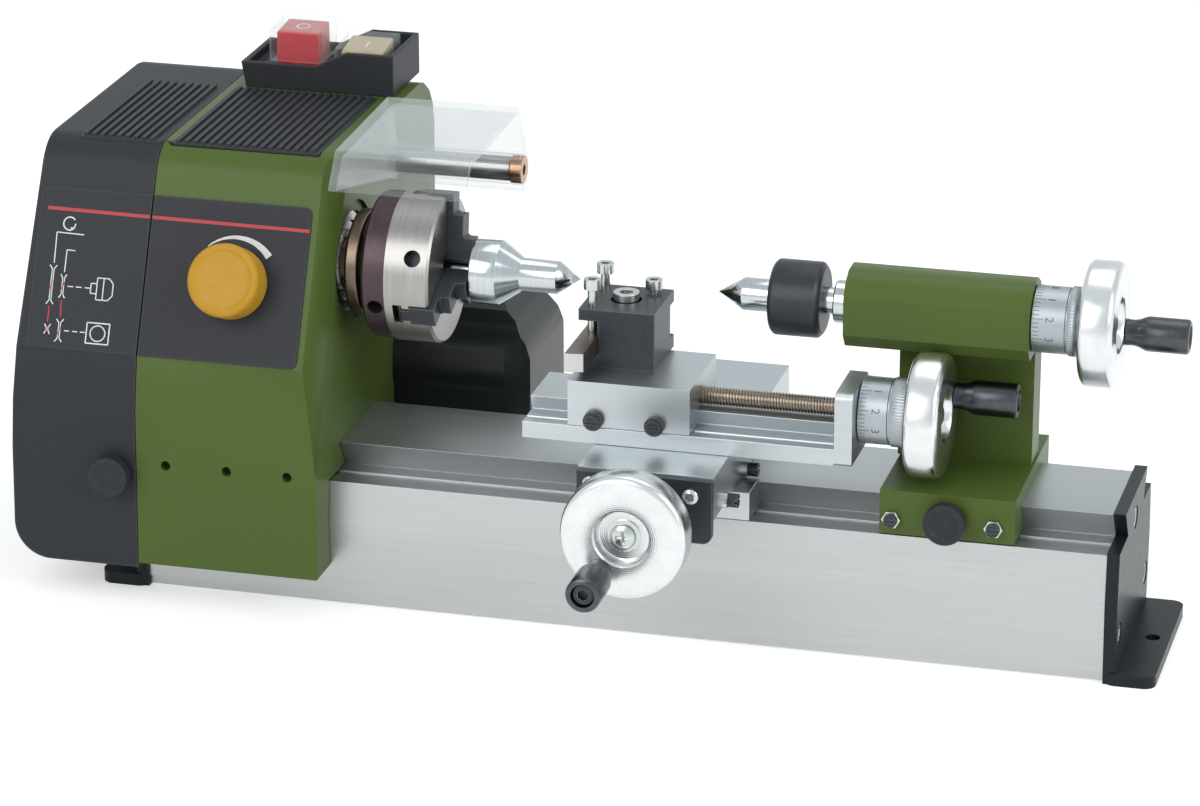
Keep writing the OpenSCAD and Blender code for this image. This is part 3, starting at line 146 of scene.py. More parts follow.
def surface(name, metallic, roughness):
    """Start a finish: the material, its node tree, its shader and the place on the piece."""
    finish = bpy.data.materials.new(name)
    finish.use_nodes = True
    shader = finish.node_tree.nodes["Principled BSDF"]
    shader.inputs["Metallic"].default_value = metallic
    shader.inputs["Roughness"].default_value = roughness
    place = add(finish.node_tree, "TexCoord").outputs["Object"]
    return finish, finish.node_tree, shader, place


def vary(tree, shader, pattern, first, second, sheen=None, relief=None):
    """Let a pattern move a finish between two colours, and its roughness and relief where given."""
    tint = add(tree, "Mix", {"data_type": "RGBA"}, {6: linear(first), 7: linear(second)}, {0: pattern})
    tree.links.new(tint.outputs[2], shader.inputs["Base Color"])
    if sheen:
        gloss = add(tree, "MapRange", values={"To Min": sheen[0], "To Max": sheen[1]},
                    links={"Value": pattern})
        tree.links.new(gloss.outputs[0], shader.inputs["Roughness"])
    if relief:
        bumps = add(tree, "Bump", values={"Strength": relief[0], "Distance": relief[1]},
                    links={"Height": pattern})
        tree.links.new(bumps.outputs[0], shader.inputs["Normal"])


def fitted(piece, finish, body, slot, *solids):
    """Give a piece its finish and fix it to its body, in place of the solids that it dresses."""
    piece.data.materials.clear()
    piece.data.materials.append(finish)
    for face in piece.data.polygons:
        face.material_index = 0
    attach(piece, body)
    if solids:
        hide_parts(*solids)
    return piece


def eased(name, solid, width, segments=2, flats=1.0):
    """Copy a cut or cast solid, clear its mesh of flat edges and round its corners slightly."""
    piece = bpy.data.objects.new(name, nodes[solid].data.copy())
    bpy.context.scene.collection.objects.link(piece)
    only(piece)
    bpy.ops.object.mode_set(mode="EDIT")
    bpy.ops.mesh.select_all(action="SELECT")
    bpy.ops.mesh.remove_doubles(threshold=0.000002)
    if flats:
        bpy.ops.mesh.dissolve_limited(angle_limit=math.radians(flats))
    bpy.ops.object.mode_set(mode="OBJECT")
    rounding = piece.modifiers.new("rounding", "BEVEL")
    rounding.width = width
    rounding.segments = segments
    rounding.limit_method = "ANGLE"
    rounding.angle_limit = math.radians(32)
    bpy.ops.object.modifier_apply(modifier="rounding")
    bpy.ops.object.shade_smooth_by_angle(angle=math.radians(48))
    even = piece.modifiers.new("even", "WEIGHTED_NORMAL")
    even.keep_sharp = True
    bpy.ops.object.modifier_apply(modifier="even")
    return piece


def dressed(name, solid, width, finish, body, slot, segments=2, flats=1.0):
    """Put an eased copy of a solid, with its finish, in the solid's place."""
    return fitted(eased(name, solid, width, segments, flats), finish, body, slot, solid)


# Anodised aluminium, extruded: grey with a cold cast, satin, and fine lines along its length.
bed_finish, tree, shader, place = surface("anodised_extrusion", 1.0, 0.36)
drawn = add(tree, "Mapping", values={"Scale": (14.0, 900.0, 900.0)}, links={"Vector": place})
lines = add(tree, "TexNoise", values={"Scale": 1.0, "Detail": 4.0}, links={"Vector": drawn.outputs[0]})
vary(tree, shader, lines.outputs["Fac"], "b0b3b4", "c2c4c4", sheen=(0.30, 0.44), relief=(0.10, 0.0001))

dressed("bed_extrusion", "bed", 0.0003, bed_finish, "base", "bed_metal")


# ---- End plates -----------------------------------------------------------------------------
# Two cast end plates with feet, screwed to the ends of the bed.
# Their dark enamel is sprayed on and half glossy, over a slightly uneven casting.

# Dark teal enamel on a casting: low relief of about 2 mm, soft highlights along the edges.
enamel, tree, shader, place = surface("dark_cast_enamel", 0.0, 0.34)
shader.inputs["Specular IOR Level"].default_value = 0.2
skin = add(tree, "TexNoise", values={"Scale": 420.0, "Detail": 5.0}, links={"Vector": place})
vary(tree, shader, skin.outputs["Fac"], "161d1f", "20282b", sheen=(0.28, 0.42), relief=(0.18, 0.0002))

dressed("left_end_casting", "left_end_plate", 0.0008, enamel, "base", "dark_paint", 3)
dressed("right_end_casting", "right_end_plate", 0.0008, enamel, "base", "dark_paint", 3)

# Zinc plate on steel screws: bright, cold, with pale yellow and blue patches about 3 mm across.
zinc, tree, shader, place = surface("bright_zinc_plate", 1.0, 0.22)
bath = add(tree, "TexNoise", values={"Scale": 330.0, "Detail": 2.0}, links={"Vector": place})
vary(tree, shader, bath.outputs["Fac"], "b9c4c9", "d2d2c6", sheen=(0.16, 0.34))

dressed("end_screws", "end_plate_screws", 0.00015, zinc, "base", "zinc_steel")


# ---- Headstock housing ----------------------------------------------------------------------
# The main casting that carries the spindle and the motor, bolted over the left end of the bed.
# It is painted olive green with one smooth, half-glossy coat.

# Olive green enamel on aluminium casting: even colour, a faint orange-peel about 1.5 mm across.
green, tree, shader, place = surface("olive_enamel", 0.0, 0.36)
shader.inputs["Specular IOR Level"].default_value = 0.2
peel = add(tree, "TexNoise", values={"Scale": 650.0, "Detail": 2.0}, links={"Vector": place})
cloud = add(tree, "TexNoise", values={"Scale": 22.0, "Detail": 3.0}, links={"Vector": place})
vary(tree, shader, cloud.outputs["Fac"], "4c5e29", "586a31")
relief = add(tree, "Bump", values={"Strength": 0.10, "Distance": 0.0002},
             links={"Height": peel.outputs["Fac"]})
tree.links.new(relief.outputs[0], shader.inputs["Normal"])

dressed("headstock_casting", "headstock_housing", 0.0009, green, "base", "green_paint", 3)


# ---- Vent panel and belt cover --------------------------------------------------------------
# A moulded ribbed panel on the headstock, and the moulded cover over the belt, which slides off.
# Both are ABS with a fine spark-eroded texture, the ribs polished a little by hands.

def rubbed(tree, radius, near, far, most):
    """Give how far the edges are rubbed, where a rounding of this radius would turn the face."""
    rim = add(tree, "Bevel", values={"Radius": radius})
    shape = add(tree, "NewGeometry")
    turn = add(tree, "VectorMath", {"operation": "DOT_PRODUCT"},
               links={0: rim.outputs[0], 1: shape.outputs["Normal"]})
    return add(tree, "MapRange", values={"From Min": near, "From Max": far, "To Max": most},
               links={"Value": turn.outputs["Value"]})


# Black ABS, spark-eroded: charcoal, matt, with a grain of about 0.5 mm and paler rubbed edges.
black, tree, shader, place = surface("textured_black_abs", 0.0, 0.48)
shader.inputs["Specular IOR Level"].default_value = 0.2
grain = add(tree, "TexNoise", values={"Scale": 1900.0, "Detail": 2.0}, links={"Vector": place})
tint = add(tree, "Mix", {"data_type": "RGBA"}, {6: linear("2a2c30"), 7: linear("37393e")},
           {0: grain.outputs["Fac"]})
rub = rubbed(tree, 0.0012, 0.98, 0.80, 0.30)
worn = add(tree, "Mix", {"data_type": "RGBA"}, {7: linear("606267")},
           {0: rub.outputs[0], 6: tint.outputs[2]})
tree.links.new(worn.outputs[2], shader.inputs["Base Color"])
relief = add(tree, "Bump", values={"Strength": 0.22, "Distance": 0.0001},
             links={"Height": grain.outputs["Fac"]})
tree.links.new(relief.outputs[0], shader.inputs["Normal"])

dressed("vent_ribs", "vent_panel", 0.0003, black, "base", "black_plastic")
dressed("belt_cover_shell", "belt_cover", 0.0007, black, "cover", "black_plastic")


# ---- Control panel and its signs ------------------------------------------------------------
# A thin black plate on the leaning front, half on the housing and half on the belt cover.
# Its signs are printed: which pulleys carry the belt for the chuck and the motor, and a scale.

dressed("control_plate", "control_panel", 0.00015, black, "base", "black_plastic")

lean_foot = Vector((0.0, -0.0407, 0.0827))
lean_up = Vector((0.0, 0.0213, 0.0483)).normalized()
lean_out = Vector((0.0, -lean_up.z, lean_up.y))
lean = Matrix.Identity(4)
for row in range(3):
    lean[row][1] = lean_up[row]
    lean[row][2] = lean_out[row]
    lean[row][3] = lean_foot[row]
plate_face = 0.00061
strokes = []


def stroke(start, end, width):
    """Draw one straight line of ink, with its points in millimetres across and up the plate."""
    (x0, y0), (x1, y1) = start, end
    bpy.ops.mesh.primitive_plane_add(size=0.001, location=((x0 + x1) / 2000, (y0 + y1) / 2000, 0.0))
    line = bpy.context.object
    line.rotation_euler.z = math.atan2(y1 - y0, x1 - x0)
    line.scale = (math.hypot(x1 - x0, y1 - y0), width, 1.0)
    strokes.append(line)


def ring(centre, radius, width, start=0, end=360, step=15):
    """Draw a round line of ink in short strokes."""
    for angle in range(start, end, step):
        ends = [math.radians(a) for a in (angle - 1.5, angle + step + 1.5)]
        points = [(centre[0] + radius * math.cos(a), centre[1] + radius * math.sin(a)) for a in ends]
        stroke(*points, width)


def print_on_plate(name, ink, body):
    """Join the strokes, give the ink its thickness and lay it on the leaning plate."""
    bpy.ops.object.select_all(action="DESELECT")
    for line in strokes:
        line.select_set(True)
    bpy.context.view_layer.objects.active = strokes[0]
    bpy.ops.object.join()
    drawing = strokes[0]
    drawing.name = name
    bpy.ops.object.transform_apply(location=True, rotation=True, scale=True)
    film = drawing.modifiers.new("film", "SOLIDIFY")
    film.thickness = 0.00004
    film.offset = 0.0
    bpy.ops.object.modifier_apply(modifier="film")
    drawing.data.transform(lean @ Matrix.Translation((0.0, 0.0, plate_face)))
    strokes.clear()
    return fitted(drawing, ink, body, "black_plastic")


# Screen-printed inks: flat and slightly broken at 0.4 mm, with the sheen of the plate.
inks = {}
for name, pale, deep in (("white_screen_ink", "e9e9ea", "dcdcde"), ("red_screen_ink", "bd2a33", "a8212d")):
    inks[name], tree, shader, place = surface(name, 0.0, 0.42)
    speck = add(tree, "TexNoise", values={"Scale": 2500.0}, links={"Vector": place})
    vary(tree, shader, speck.outputs["Fac"], pale, deep)

stroke((-188.8, 44.8), (-154.5, 44.45), 1.1)
stroke((-184.85, 13.5), (-184.85, 8.4), 0.4)
stroke((-181.05, 15.6), (-180.7, 10.2), 0.4)
stroke((-185.4, 18.5), (-184.3, 22.2), 0.5)
stroke((-181.5, 19.0), (-180.6, 21.4), 0.5)
stroke((-185.1, 5.2), (-184.4, 7.0), 0.5)
stroke((-181.1, 4.6), (-180.3, 7.2), 0.5)
print_on_plate("cover_red_print", inks["red_screen_ink"], "cover")

for middle, low, high, wide in ((-184.85, 14.1, 26.6, 2.4), (-181.05, 16.3, 23.9, 2.0),
                                (-184.75, 4.5, 7.7, 2.0), (-180.7, 2.3, 9.6, 2.4)):
    for side in (-1, 1):
        stroke((middle + side * wide / 2, low), (middle + side * 0.3, low + 1.2), 0.35)
        stroke((middle + side * wide / 2, high), (middle + side * 0.3, high - 1.2), 0.35)
        stroke((middle + side * 0.3, low + 1.0), (middle + side * 0.3, high - 1.0), 0.3)
stroke((-175.7, 37.0), (-184.9, 37.2), 0.35)
stroke((-184.9, 37.2), (-184.75, 27.3), 0.35)
stroke((-178.1, 31.7), (-180.9, 31.8), 0.35)
stroke((-180.9, 31.8), (-180.95, 24.6), 0.35)
ring((-180.9, 40.2), 2.1, 0.45, 40, 325)
stroke((-179.3, 38.9), (-178.9, 40.3), 0.4)
stroke((-179.3, 38.9), (-180.5, 38.8), 0.4)
for x in (-179.4, -176.6, -173.6):
    stroke((x, 20.2), (x + 1.9, 20.2), 0.35)
for x in (-179.0, -176.2, -173.6):
    stroke((x, 6.0), (x + 1.7, 6.0), 0.35)
for side in (-1, 1):
    stroke((-171.6, 20.2 + side * 1.6), (-169.6, 20.2 + side * 1.6), 0.35)
    stroke((-169.6, 20.2 + side * 3.5), (-165.6, 20.2 + side * 3.5), 0.35)
    stroke((-165.6, 20.2 + side * 3.5), (-164.2, 20.2 + side * 1.9), 0.35)
stroke((-171.6, 18.6), (-171.6, 21.8), 0.35)
stroke((-169.6, 16.7), (-169.6, 23.7), 0.35)
stroke((-167.4, 16.7), (-167.4, 23.7), 0.35)
stroke((-164.2, 18.3), (-164.2, 22.1), 0.35)
for start, end in (((-171.5, 2.7), (-163.9, 2.7)), ((-171.5, 9.3), (-163.9, 9.3)),
                   ((-171.5, 2.6), (-171.5, 9.4)), ((-163.9, 2.6), (-163.9, 9.4))):
    stroke(start, end, 0.4)
ring((-167.7, 6.0), 2.5, 0.4)
print_on_plate("cover_white_print", inks["white_screen_ink"], "cover")

stroke((-153.6, 44.45), (-101.2, 44.1), 1.1)
print_on_plate("panel_red_print", inks["red_screen_ink"], "base")

arc_x = -125.0
arc_y = 26.1
thick_end = 38
thin_end = 130
for angle in range(thick_end, thin_end, 4):
    share = (thin_end - angle) / (thin_end - thick_end)
    ends = [math.radians(a) for a in (angle + 4.3, angle - 0.3)]
    middle = 14.0 + 0.4 * share
    points = [(arc_x + middle * math.cos(a), arc_y + middle * math.sin(a)) for a in ends]
    stroke(*points, 0.25 + 2.0 * share)
print_on_plate("panel_white_print", inks["white_screen_ink"], "base")


# ---- Speed knob -----------------------------------------------------------------------------
# A round moulded knob pushed on the shaft of the speed control, with a rounded rim on its face.
# Its yellow ABS is a little uneven, with a few small marks from use.

def turned(name, centre, axis, profile, steps=96):
    """Draw half a section point by point, as (along the axis, radius), and spin it once round."""
    way = Vector(axis).normalized()
    side = Vector((0.0, 0.0, 1.0)) if abs(way.z) < 0.9 else Vector((1.0, 0.0, 0.0))
    side = (side - way * side.dot(way)).normalized()
    points = [Vector(centre) + way * along / 1000 + side * radius / 1000 for along, radius in profile]
    bpy.ops.object.select_all(action="DESELECT")
    bpy.ops.mesh.primitive_plane_add(size=0.0001)
    piece = bpy.context.object
    piece.name = name
    bpy.ops.object.mode_set(mode="EDIT")
    bpy.ops.mesh.select_mode(type="VERT")
    bpy.ops.mesh.merge(type="CENTER")
    bpy.ops.transform.translate(value=points[0])
    for before, after in zip(points, points[1:]):
        bpy.ops.mesh.extrude_vertices_move(TRANSFORM_OT_translate={"value": after - before})
    bpy.ops.mesh.select_all(action="SELECT")
    bpy.ops.mesh.spin(steps=steps, angle=math.tau, center=centre, axis=way)
    bpy.ops.mesh.select_all(action="SELECT")
    bpy.ops.mesh.remove_doubles(threshold=0.000002)
    bpy.ops.mesh.normals_make_consistent(inside=False)
    bpy.ops.object.mode_set(mode="OBJECT")
    bpy.ops.object.shade_smooth_by_angle(angle=math.radians(28))
    return piece


# Yellow ABS, moulded: warm ochre, half matt, with a few brown marks of about 1 mm.
yellow, tree, shader, place = surface("rubbed_yellow_abs", 0.0, 0.42)
shader.inputs["Specular IOR Level"].default_value = 0.25
cloud = add(tree, "TexNoise", values={"Scale": 160.0, "Detail": 4.0}, links={"Vector": place})
tint = add(tree, "Mix", {"data_type": "RGBA"}, {6: linear("bd8d24"), 7: linear("cb9b32")},
           {0: cloud.outputs["Fac"]})
chip = add(tree, "TexNoise", values={"Scale": 900.0, "Detail": 1.0}, links={"Vector": place})
spots = add(tree, "MapRange", values={"From Min": 0.70, "From Max": 0.76, "To Max": 0.6},
            links={"Value": chip.outputs["Fac"]})
marked = add(tree, "Mix", {"data_type": "RGBA"}, {7: linear("8a6420")},
             {0: spots.outputs[0], 6: tint.outputs[2]})
tree.links.new(marked.outputs[2], shader.inputs["Base Color"])
relief = add(tree, "Bump", values={"Strength": 0.12, "Distance": 0.0002},
             links={"Height": cloud.outputs["Fac"]})
tree.links.new(relief.outputs[0], shader.inputs["Normal"])

knob_middle = lean_foot + lean_up * 0.0257
knob_middle.x = -0.1247
knob = turned("speed_knob_cap", knob_middle, lean_out, (
    (0.9, 0.0), (0.9, 11.3), (1.2, 11.6), (9.8, 11.8), (10.9, 11.6), (11.6, 11.1), (11.95, 10.4),
    (11.95, 9.9), (11.6, 9.3), (11.45, 8.6), (11.6, 5.0), (11.65, 0.0)))
fitted(knob, yellow, "speed_knob", "knob_yellow", "speed_knob")


# ---- Thumb screws ---------------------------------------------------------------------------
# The knob that holds the belt cover, and the knob that clamps the tailstock to the bed.
# Each is moulded in black plastic round a steel stud, with a shallow ring recess in its face.

def thumb_knob(name, solid, body):
    """One small round knob with a stem, eased corners and a ring recess, as wide as its solid."""
    low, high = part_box(solid)
    r = (high.x - low.x) * 500
    knob = turned(name, ((low.x + high.x) / 2, low.y, (low.z + high.z) / 2), (0, -1, 0), (
        (-7.3, 0.0), (-7.3, 2.2), (-5.6, 2.2), (-5.6, r - 2.4), (-5.2, r - 2.0), (-4.6, r - 0.4),
        (-4.2, r - 0.1), (-0.7, r), (-0.2, r - 0.25), (0.0, r - 0.8), (0.0, r - 2.0), (-0.3, r - 2.3),
        (-0.6, r - 2.6), (-0.6, 1.4), (-0.3, 1.1), (-0.3, 0.0)), 64)
    return fitted(knob, black, body, "black_plastic", solid)


thumb_knob("cover_thumb_screw", "cover_knob", "cover_knob")
thumb_knob("tailstock_thumb_screw", "tailstock_clamp_knob", "clamp_knob")


# ---- Switch box and its keys ----------------------------------------------------------------
# An open moulded box on the headstock with two push keys, a high red one and a low beige one.
# Each key wears a clear cap that keeps swarf out, and carries its printed mark.

dressed("switch_housing", "switch_box", 0.0005, black, "base", "black_plastic", 3)

# Glossy key plastic: saturated, with a slight cloud of lighter colour.
for key, solid, body, pale, deep, slot, mark in (
        ("stop_key", "off_button", "off_button", "e0303f", "cc2030", "button_red", "O"),
        ("start_key", "on_button", "on_button", "cbb07a", "b99c66", "button_beige", "I")):
    gloss, tree, shader, place = surface("glossy_" + slot, 0.0, 0.32)
    shader.inputs["Specular IOR Level"].default_value = 0.25
    cloud = add(tree, "TexNoise", values={"Scale": 240.0, "Detail": 3.0}, links={"Vector": place})
    vary(tree, shader, cloud.outputs["Fac"], deep, pale)
    block = eased(key, solid, 0.0006, 3)
    air = block.modifiers.new("air_under_the_cap", "DISPLACE")
    air.mid_level = 0.0
    air.strength = -0.0001
    bpy.ops.object.modifier_apply(modifier="air_under_the_cap")
    fitted(block, gloss, body, slot, solid)
    low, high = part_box(solid)
    middle = (low + high) / 2
    front, rear = [max(v.co.z for v in nodes[solid].data.vertices if (v.co.y > middle.y) == back)
                   for back in (False, True)]
    bpy.ops.object.select_all(action="DESELECT")
    bpy.ops.object.text_add()
    word = bpy.context.object
    word.name = key + "_mark"
    word.data.body = mark
    word.data.size = 0.0065
    word.data.align_x = "CENTER"
    word.data.align_y = "CENTER"
    word.data.extrude = 0.00004
    bpy.ops.object.convert(target="MESH")
    slope = Matrix.Rotation(math.atan2(rear - front, high.y - low.y), 4, "X")
    word.data.transform(Matrix.Translation((middle.x, middle.y, (front + rear) / 2 - 0.0001)) @ slope)
    fitted(word, inks["white_screen_ink"], body, slot)

# Clear polycarbonate: mostly see-through, whiter where it is seen edge-on, with soft moulding
# ripples about 11 mm long. The key caps are the clearest.
clears = []
for name, least, most in (("clear_key_polycarbonate", 0.03, 0.36),
                          ("clear_guard_polycarbonate", 0.04, 0.48)):
    clear, tree, shader, place = surface(name, 0.0, 0.14)
    shader.inputs["IOR"].default_value = 1.49
    shader.inputs["Specular IOR Level"].default_value = 0.3
    haze = add(tree, "TexNoise", values={"Scale": 90.0, "Detail": 3.0}, links={"Vector": place})
    vary(tree, shader, haze.outputs["Fac"], "d3dadb", "e6eaea")
    slant = add(tree, "LayerWeight", values={"Blend": 0.42})
    veil = add(tree, "MapRange", values={"To Min": least, "To Max": most},
               links={"Value": slant.outputs["Facing"]})
    tree.links.new(veil.outputs[0], shader.inputs["Alpha"])
    ripple = add(tree, "Bump", values={"Strength": 0.35, "Distance": 0.0006},
                 links={"Height": haze.outputs["Fac"]})
    tree.links.new(ripple.outputs[0], shader.inputs["Normal"])
    clears.append(clear)

for cap, solid, body in (("stop_key_cap", "off_button_cap", "off_button"),
                         ("start_key_cap", "on_button_cap", "on_button")):
    dressed(cap, solid, 0.0006, clears[0], body, "clear_plastic", 3)


# ---- Motor ----------------------------------------------------------------------------------
# The motor sits behind the chuck in a moulded cover, screwed to the housing's right wall.
# Inside are its steel windings pack and the rotor on its shaft.

# Satin black moulding with a green-grey cast, a soft sheen and grain of about 1 mm.
cover_finish, tree, shader, place = surface("satin_moulded_cover", 0.0, 0.36)
shader.inputs["Specular IOR Level"].default_value = 0.3
grain = add(tree, "TexNoise", values={"Scale": 1100.0, "Detail": 2.0}, links={"Vector": place})
cloud = add(tree, "TexNoise", values={"Scale": 60.0, "Detail": 2.0}, links={"Vector": place})
vary(tree, shader, cloud.outputs["Fac"], "1c2021", "272b2c")
relief = add(tree, "Bump", values={"Strength": 0.15, "Distance": 0.0001},
             links={"Height": grain.outputs["Fac"]})
tree.links.new(relief.outputs[0], shader.inputs["Normal"])
dressed("motor_cover", "motor_housing", 0.0012, cover_finish, "base", "motor_paint", 3)

# Ground steel: a neutral bright metal with fine grinding lines of about 0.4 mm.
ground, tree, shader, place = surface("ground_steel", 1.0, 0.24)
drawn = add(tree, "Mapping", values={"Scale": (2600.0, 160.0, 160.0)}, links={"Vector": place})
lines = add(tree, "TexNoise", values={"Scale": 1.0, "Detail": 3.0}, links={"Vector": drawn.outputs[0]})
vary(tree, shader, lines.outputs["Fac"], "a6a5a3", "c3c2c0", sheen=(0.18, 0.36))


def finished(finish, *solids):
    """Give CAD solids that stay as they are their finish."""
    for solid in solids:
        for cell in nodes[solid].material_slots:
            cell.material = finish


finished(ground, "motor_stator", "motor_shaft", "spindle_bearings")


# ---- Belt drive -----------------------------------------------------------------------------
# Two pulleys turned from aluminium and a round rubber belt, all inside the cover.
# The spindle's pulley is twice as large as the motor's.

# Turned aluminium: pale and bright, with tool rings about 0.5 mm apart round the axis.
pulley_metal, tree, shader, place = surface("turned_pulley_aluminium", 1.0, 0.28)
lines = add(tree, "TexWave", {"bands_direction": "X"}, {"Scale": 600.0, "Distortion": 1.5},
            {"Vector": place})
vary(tree, shader, lines.outputs["Fac"], "b4b8b9", "c8cbcc")
finished(pulley_metal, "spindle_pulley", "motor_pulley")

# Belt rubber: black, dull, dusted grey in patches of about 3 mm.
rubber, tree, shader, place = surface("dusty_belt_rubber", 0.0, 0.72)
dust = add(tree, "TexNoise", values={"Scale": 330.0, "Detail": 4.0}, links={"Vector": place})
vary(tree, shader, dust.outputs["Fac"], "1a1a1b", "2c2b2b")
finished(rubber, "drive_belt")


# ---- Spindle and chuck ----------------------------------------------------------------------
# The hardened spindle runs right through the headstock and ends in a flange for the chuck.
# The chuck has a ground steel body, a dark scroll ring behind it, and three hardened jaws.

spindle_height = 0.10675

# Spindle steel, hardened and oiled: straw brown, satin, with darker stains of about 3 mm.
straw, tree, shader, place = surface("straw_brown_spindle_steel", 1.0, 0.32)
stain = add(tree, "TexNoise", values={"Scale": 320.0, "Detail": 3.0}, links={"Vector": place})
vary(tree, shader, stain.outputs["Fac"], "5d5046", "8a7a6a")
dressed("spindle_shaft", "spindle", 0.0003, straw, "spindle", "bright_steel")

# Brushed steel: lines run round the body, so the pattern is drawn out across the axis.
brushed, tree, shader, place = surface("brushed_chuck_steel", 1.0, 0.30)
drawn = add(tree, "Mapping", values={"Scale": (2400.0, 60.0, 60.0)}, links={"Vector": place})
lines = add(tree, "TexNoise", values={"Scale": 1.0, "Detail": 5.0}, links={"Vector": drawn.outputs[0]})
vary(tree, shader, lines.outputs["Fac"], "8f8c89", "b3b0ac", sheen=(0.24, 0.46), relief=(0.10, 0.0001))
shell = dressed("chuck_shell", "chuck_body", 0.0003, brushed, "spindle", "bright_steel")

# Browned steel: dark purple-brown oxide, satin, a little patchy at 2 mm.
browned, tree, shader, place = surface("browned_steel", 0.75, 0.40)
patch = add(tree, "TexNoise", values={"Scale": 480.0, "Detail": 4.0}, links={"Vector": place})
vary(tree, shader, patch.outputs["Fac"], "43373a", "594a4e")
dressed("scroll_ring", "chuck_scroll", 0.0003, browned, "scroll", "scroll_steel")

# Blackened hard steel: near black, satin, with edges rubbed to bare metal.
blackened, tree, shader, place = surface("blackened_steel", 0.5, 0.38)
shader.inputs["Specular IOR Level"].default_value = 0.3
patch = add(tree, "TexNoise", values={"Scale": 700.0, "Detail": 4.0}, links={"Vector": place})
tint = add(tree, "Mix", {"data_type": "RGBA"}, {6: linear("33363a"), 7: linear("42464b")},
           {0: patch.outputs["Fac"]})
rub = rubbed(tree, 0.0007, 0.97, 0.78, 0.6)
worn = add(tree, "Mix", {"data_type": "RGBA"}, {7: linear("8e8f92")},
           {0: rub.outputs[0], 6: tint.outputs[2]})
tree.links.new(worn.outputs[2], shader.inputs["Base Color"])
for number in (1, 2, 3):
    dressed(f"jaw_{number}_steel", f"chuck_jaw_{number}", 0.0002, blackened, f"jaw_{number}", "black_steel")

# The walls of the slots and key holes inside the chuck body, within the ground radius, get the blackened
# finish.
shell.data.materials.append(blackened)
ground_radius = 0.0234
for face in shell.data.polygons:
    from_axis = math.hypot(face.center.y, face.center.z - spindle_height)
    if abs(face.normal.x) < 0.9 and from_axis < ground_radius:
        face.material_index = 1


# ---- Dead centre ----------------------------------------------------------------------------
# A bright turned centre held in the jaws: a thin pin, a thick collar and a long point.
# It is finish-turned and polished, so it shows sharp bands of light.

# Polished steel: clean and cold, with hair-fine turning marks.
polished, tree, shader, place = surface("polished_steel", 1.0, 0.14)
drawn = add(tree, "Mapping", values={"Scale": (3000.0, 40.0, 40.0)}, links={"Vector": place})
lines = add(tree, "TexNoise", values={"Scale": 1.0, "Detail": 2.0}, links={"Vector": drawn.outputs[0]})
vary(tree, shader, lines.outputs["Fac"], "b4babd", "cfd3d5", sheen=(0.10, 0.22))
centre_piece = turned("turned_dead_centre", (0.0, 0.0, spindle_height), (1, 0, 0), (
    (-70.0, 0.0), (-70.0, 1.6), (-69.6, 2.0), (-53.5, 2.0), (-53.5, 9.9), (-53.3, 10.25),
    (-52.9, 10.35), (-45.15, 10.35), (-44.8, 10.2), (-38.2, 5.5), (-37.8, 5.4), (-26.2, 5.2),
    (-25.8, 4.95), (-19.1, 0.0)), 128)
fitted(centre_piece, polished, "spindle", "bright_steel", "dead_centre")


# ---- Chuck guard and its rod ----------------------------------------------------------------
# A clear moulded hood that swings up over the chuck on a rod screwed into the housing.
# The hood is polycarbonate, whiter at its edges; the rod is steel with a copper-coloured end.

dressed("clear_guard", "guard", 0.0005, clears[1], "guard", "clear_plastic", 3)

# Copper-plated end of the rod, steel along the rest: the colour changes about 8 mm from the end.
rod_metal, tree, shader, place = surface("coppered_steel_rod", 1.0, 0.26)
parts = add(tree, "SeparateXYZ", links={0: place})
ends = add(tree, "MapRange", values={"From Min": -0.0545, "From Max": -0.0525},
           links={"Value": parts.outputs["X"]})
stain = add(tree, "TexNoise", values={"Scale": 500.0}, links={"Vector": place})
copper = add(tree, "Mix", {"data_type": "RGBA"}, {6: linear("a27f69"), 7: linear("bf9d86")},
             {0: stain.outputs["Fac"]})
tint = add(tree, "Mix", {"data_type": "RGBA"}, {6: linear("a9abab")},
           {0: ends.outputs[0], 7: copper.outputs[2]})
tree.links.new(tint.outputs[2], shader.inputs["Base Color"])
dressed("guard_pivot_rod", "guard_rod", 0.0003, rod_metal, "base", "bright_steel")


# ---- Saddle and cross slide -----------------------------------------------------------------
# The saddle rides on the bed's dovetail, and the cross slide runs across it on its own.
# Both are milled from aluminium plate, with cutter marks and a fine blasted skin.

# Milled aluminium: satin, cold grey, with a grain of about 0.4 mm that breaks up reflections.
milled, tree, shader, place = surface("milled_aluminium", 1.0, 0.34)
grain = add(tree, "TexNoise", values={"Scale": 2200.0, "Detail": 3.0}, links={"Vector": place})
drawn = add(tree, "Mapping", values={"Scale": (40.0, 900.0, 900.0)}, links={"Vector": place})
lines = add(tree, "TexNoise", values={"Scale": 1.0, "Detail": 3.0}, links={"Vector": drawn.outputs[0]})
mixed = add(tree, "Math", {"operation": "MULTIPLY_ADD"}, {1: 0.5}, {0: grain.outputs["Fac"]})
half = add(tree, "Math", {"operation": "MULTIPLY"}, {1: 0.5}, {0: lines.outputs["Fac"]})
tree.links.new(half.outputs[0], mixed.inputs[2])
vary(tree, shader, mixed.outputs[0], "b3b9bc", "c9cdcf", sheen=(0.28, 0.44), relief=(0.16, 0.0001))

dressed("saddle_block", "saddle", 0.0003, milled, "saddle", "milled_metal")
dressed("cross_slide_block", "cross_slide", 0.0003, milled, "cross_slide", "milled_metal")
dressed("apron_sheet", "apron_plate", 0.0004, blackened, "cross_slide", "black_steel")


def blacken_past(piece, axis, limit):
    """Give the slotted screws in a set with zinc nuts their black finish, past one plane."""
    piece.data.materials.append(blackened)
    for face in piece.data.polygons:
        if abs(face.center[axis]) > limit:
            face.material_index = 1


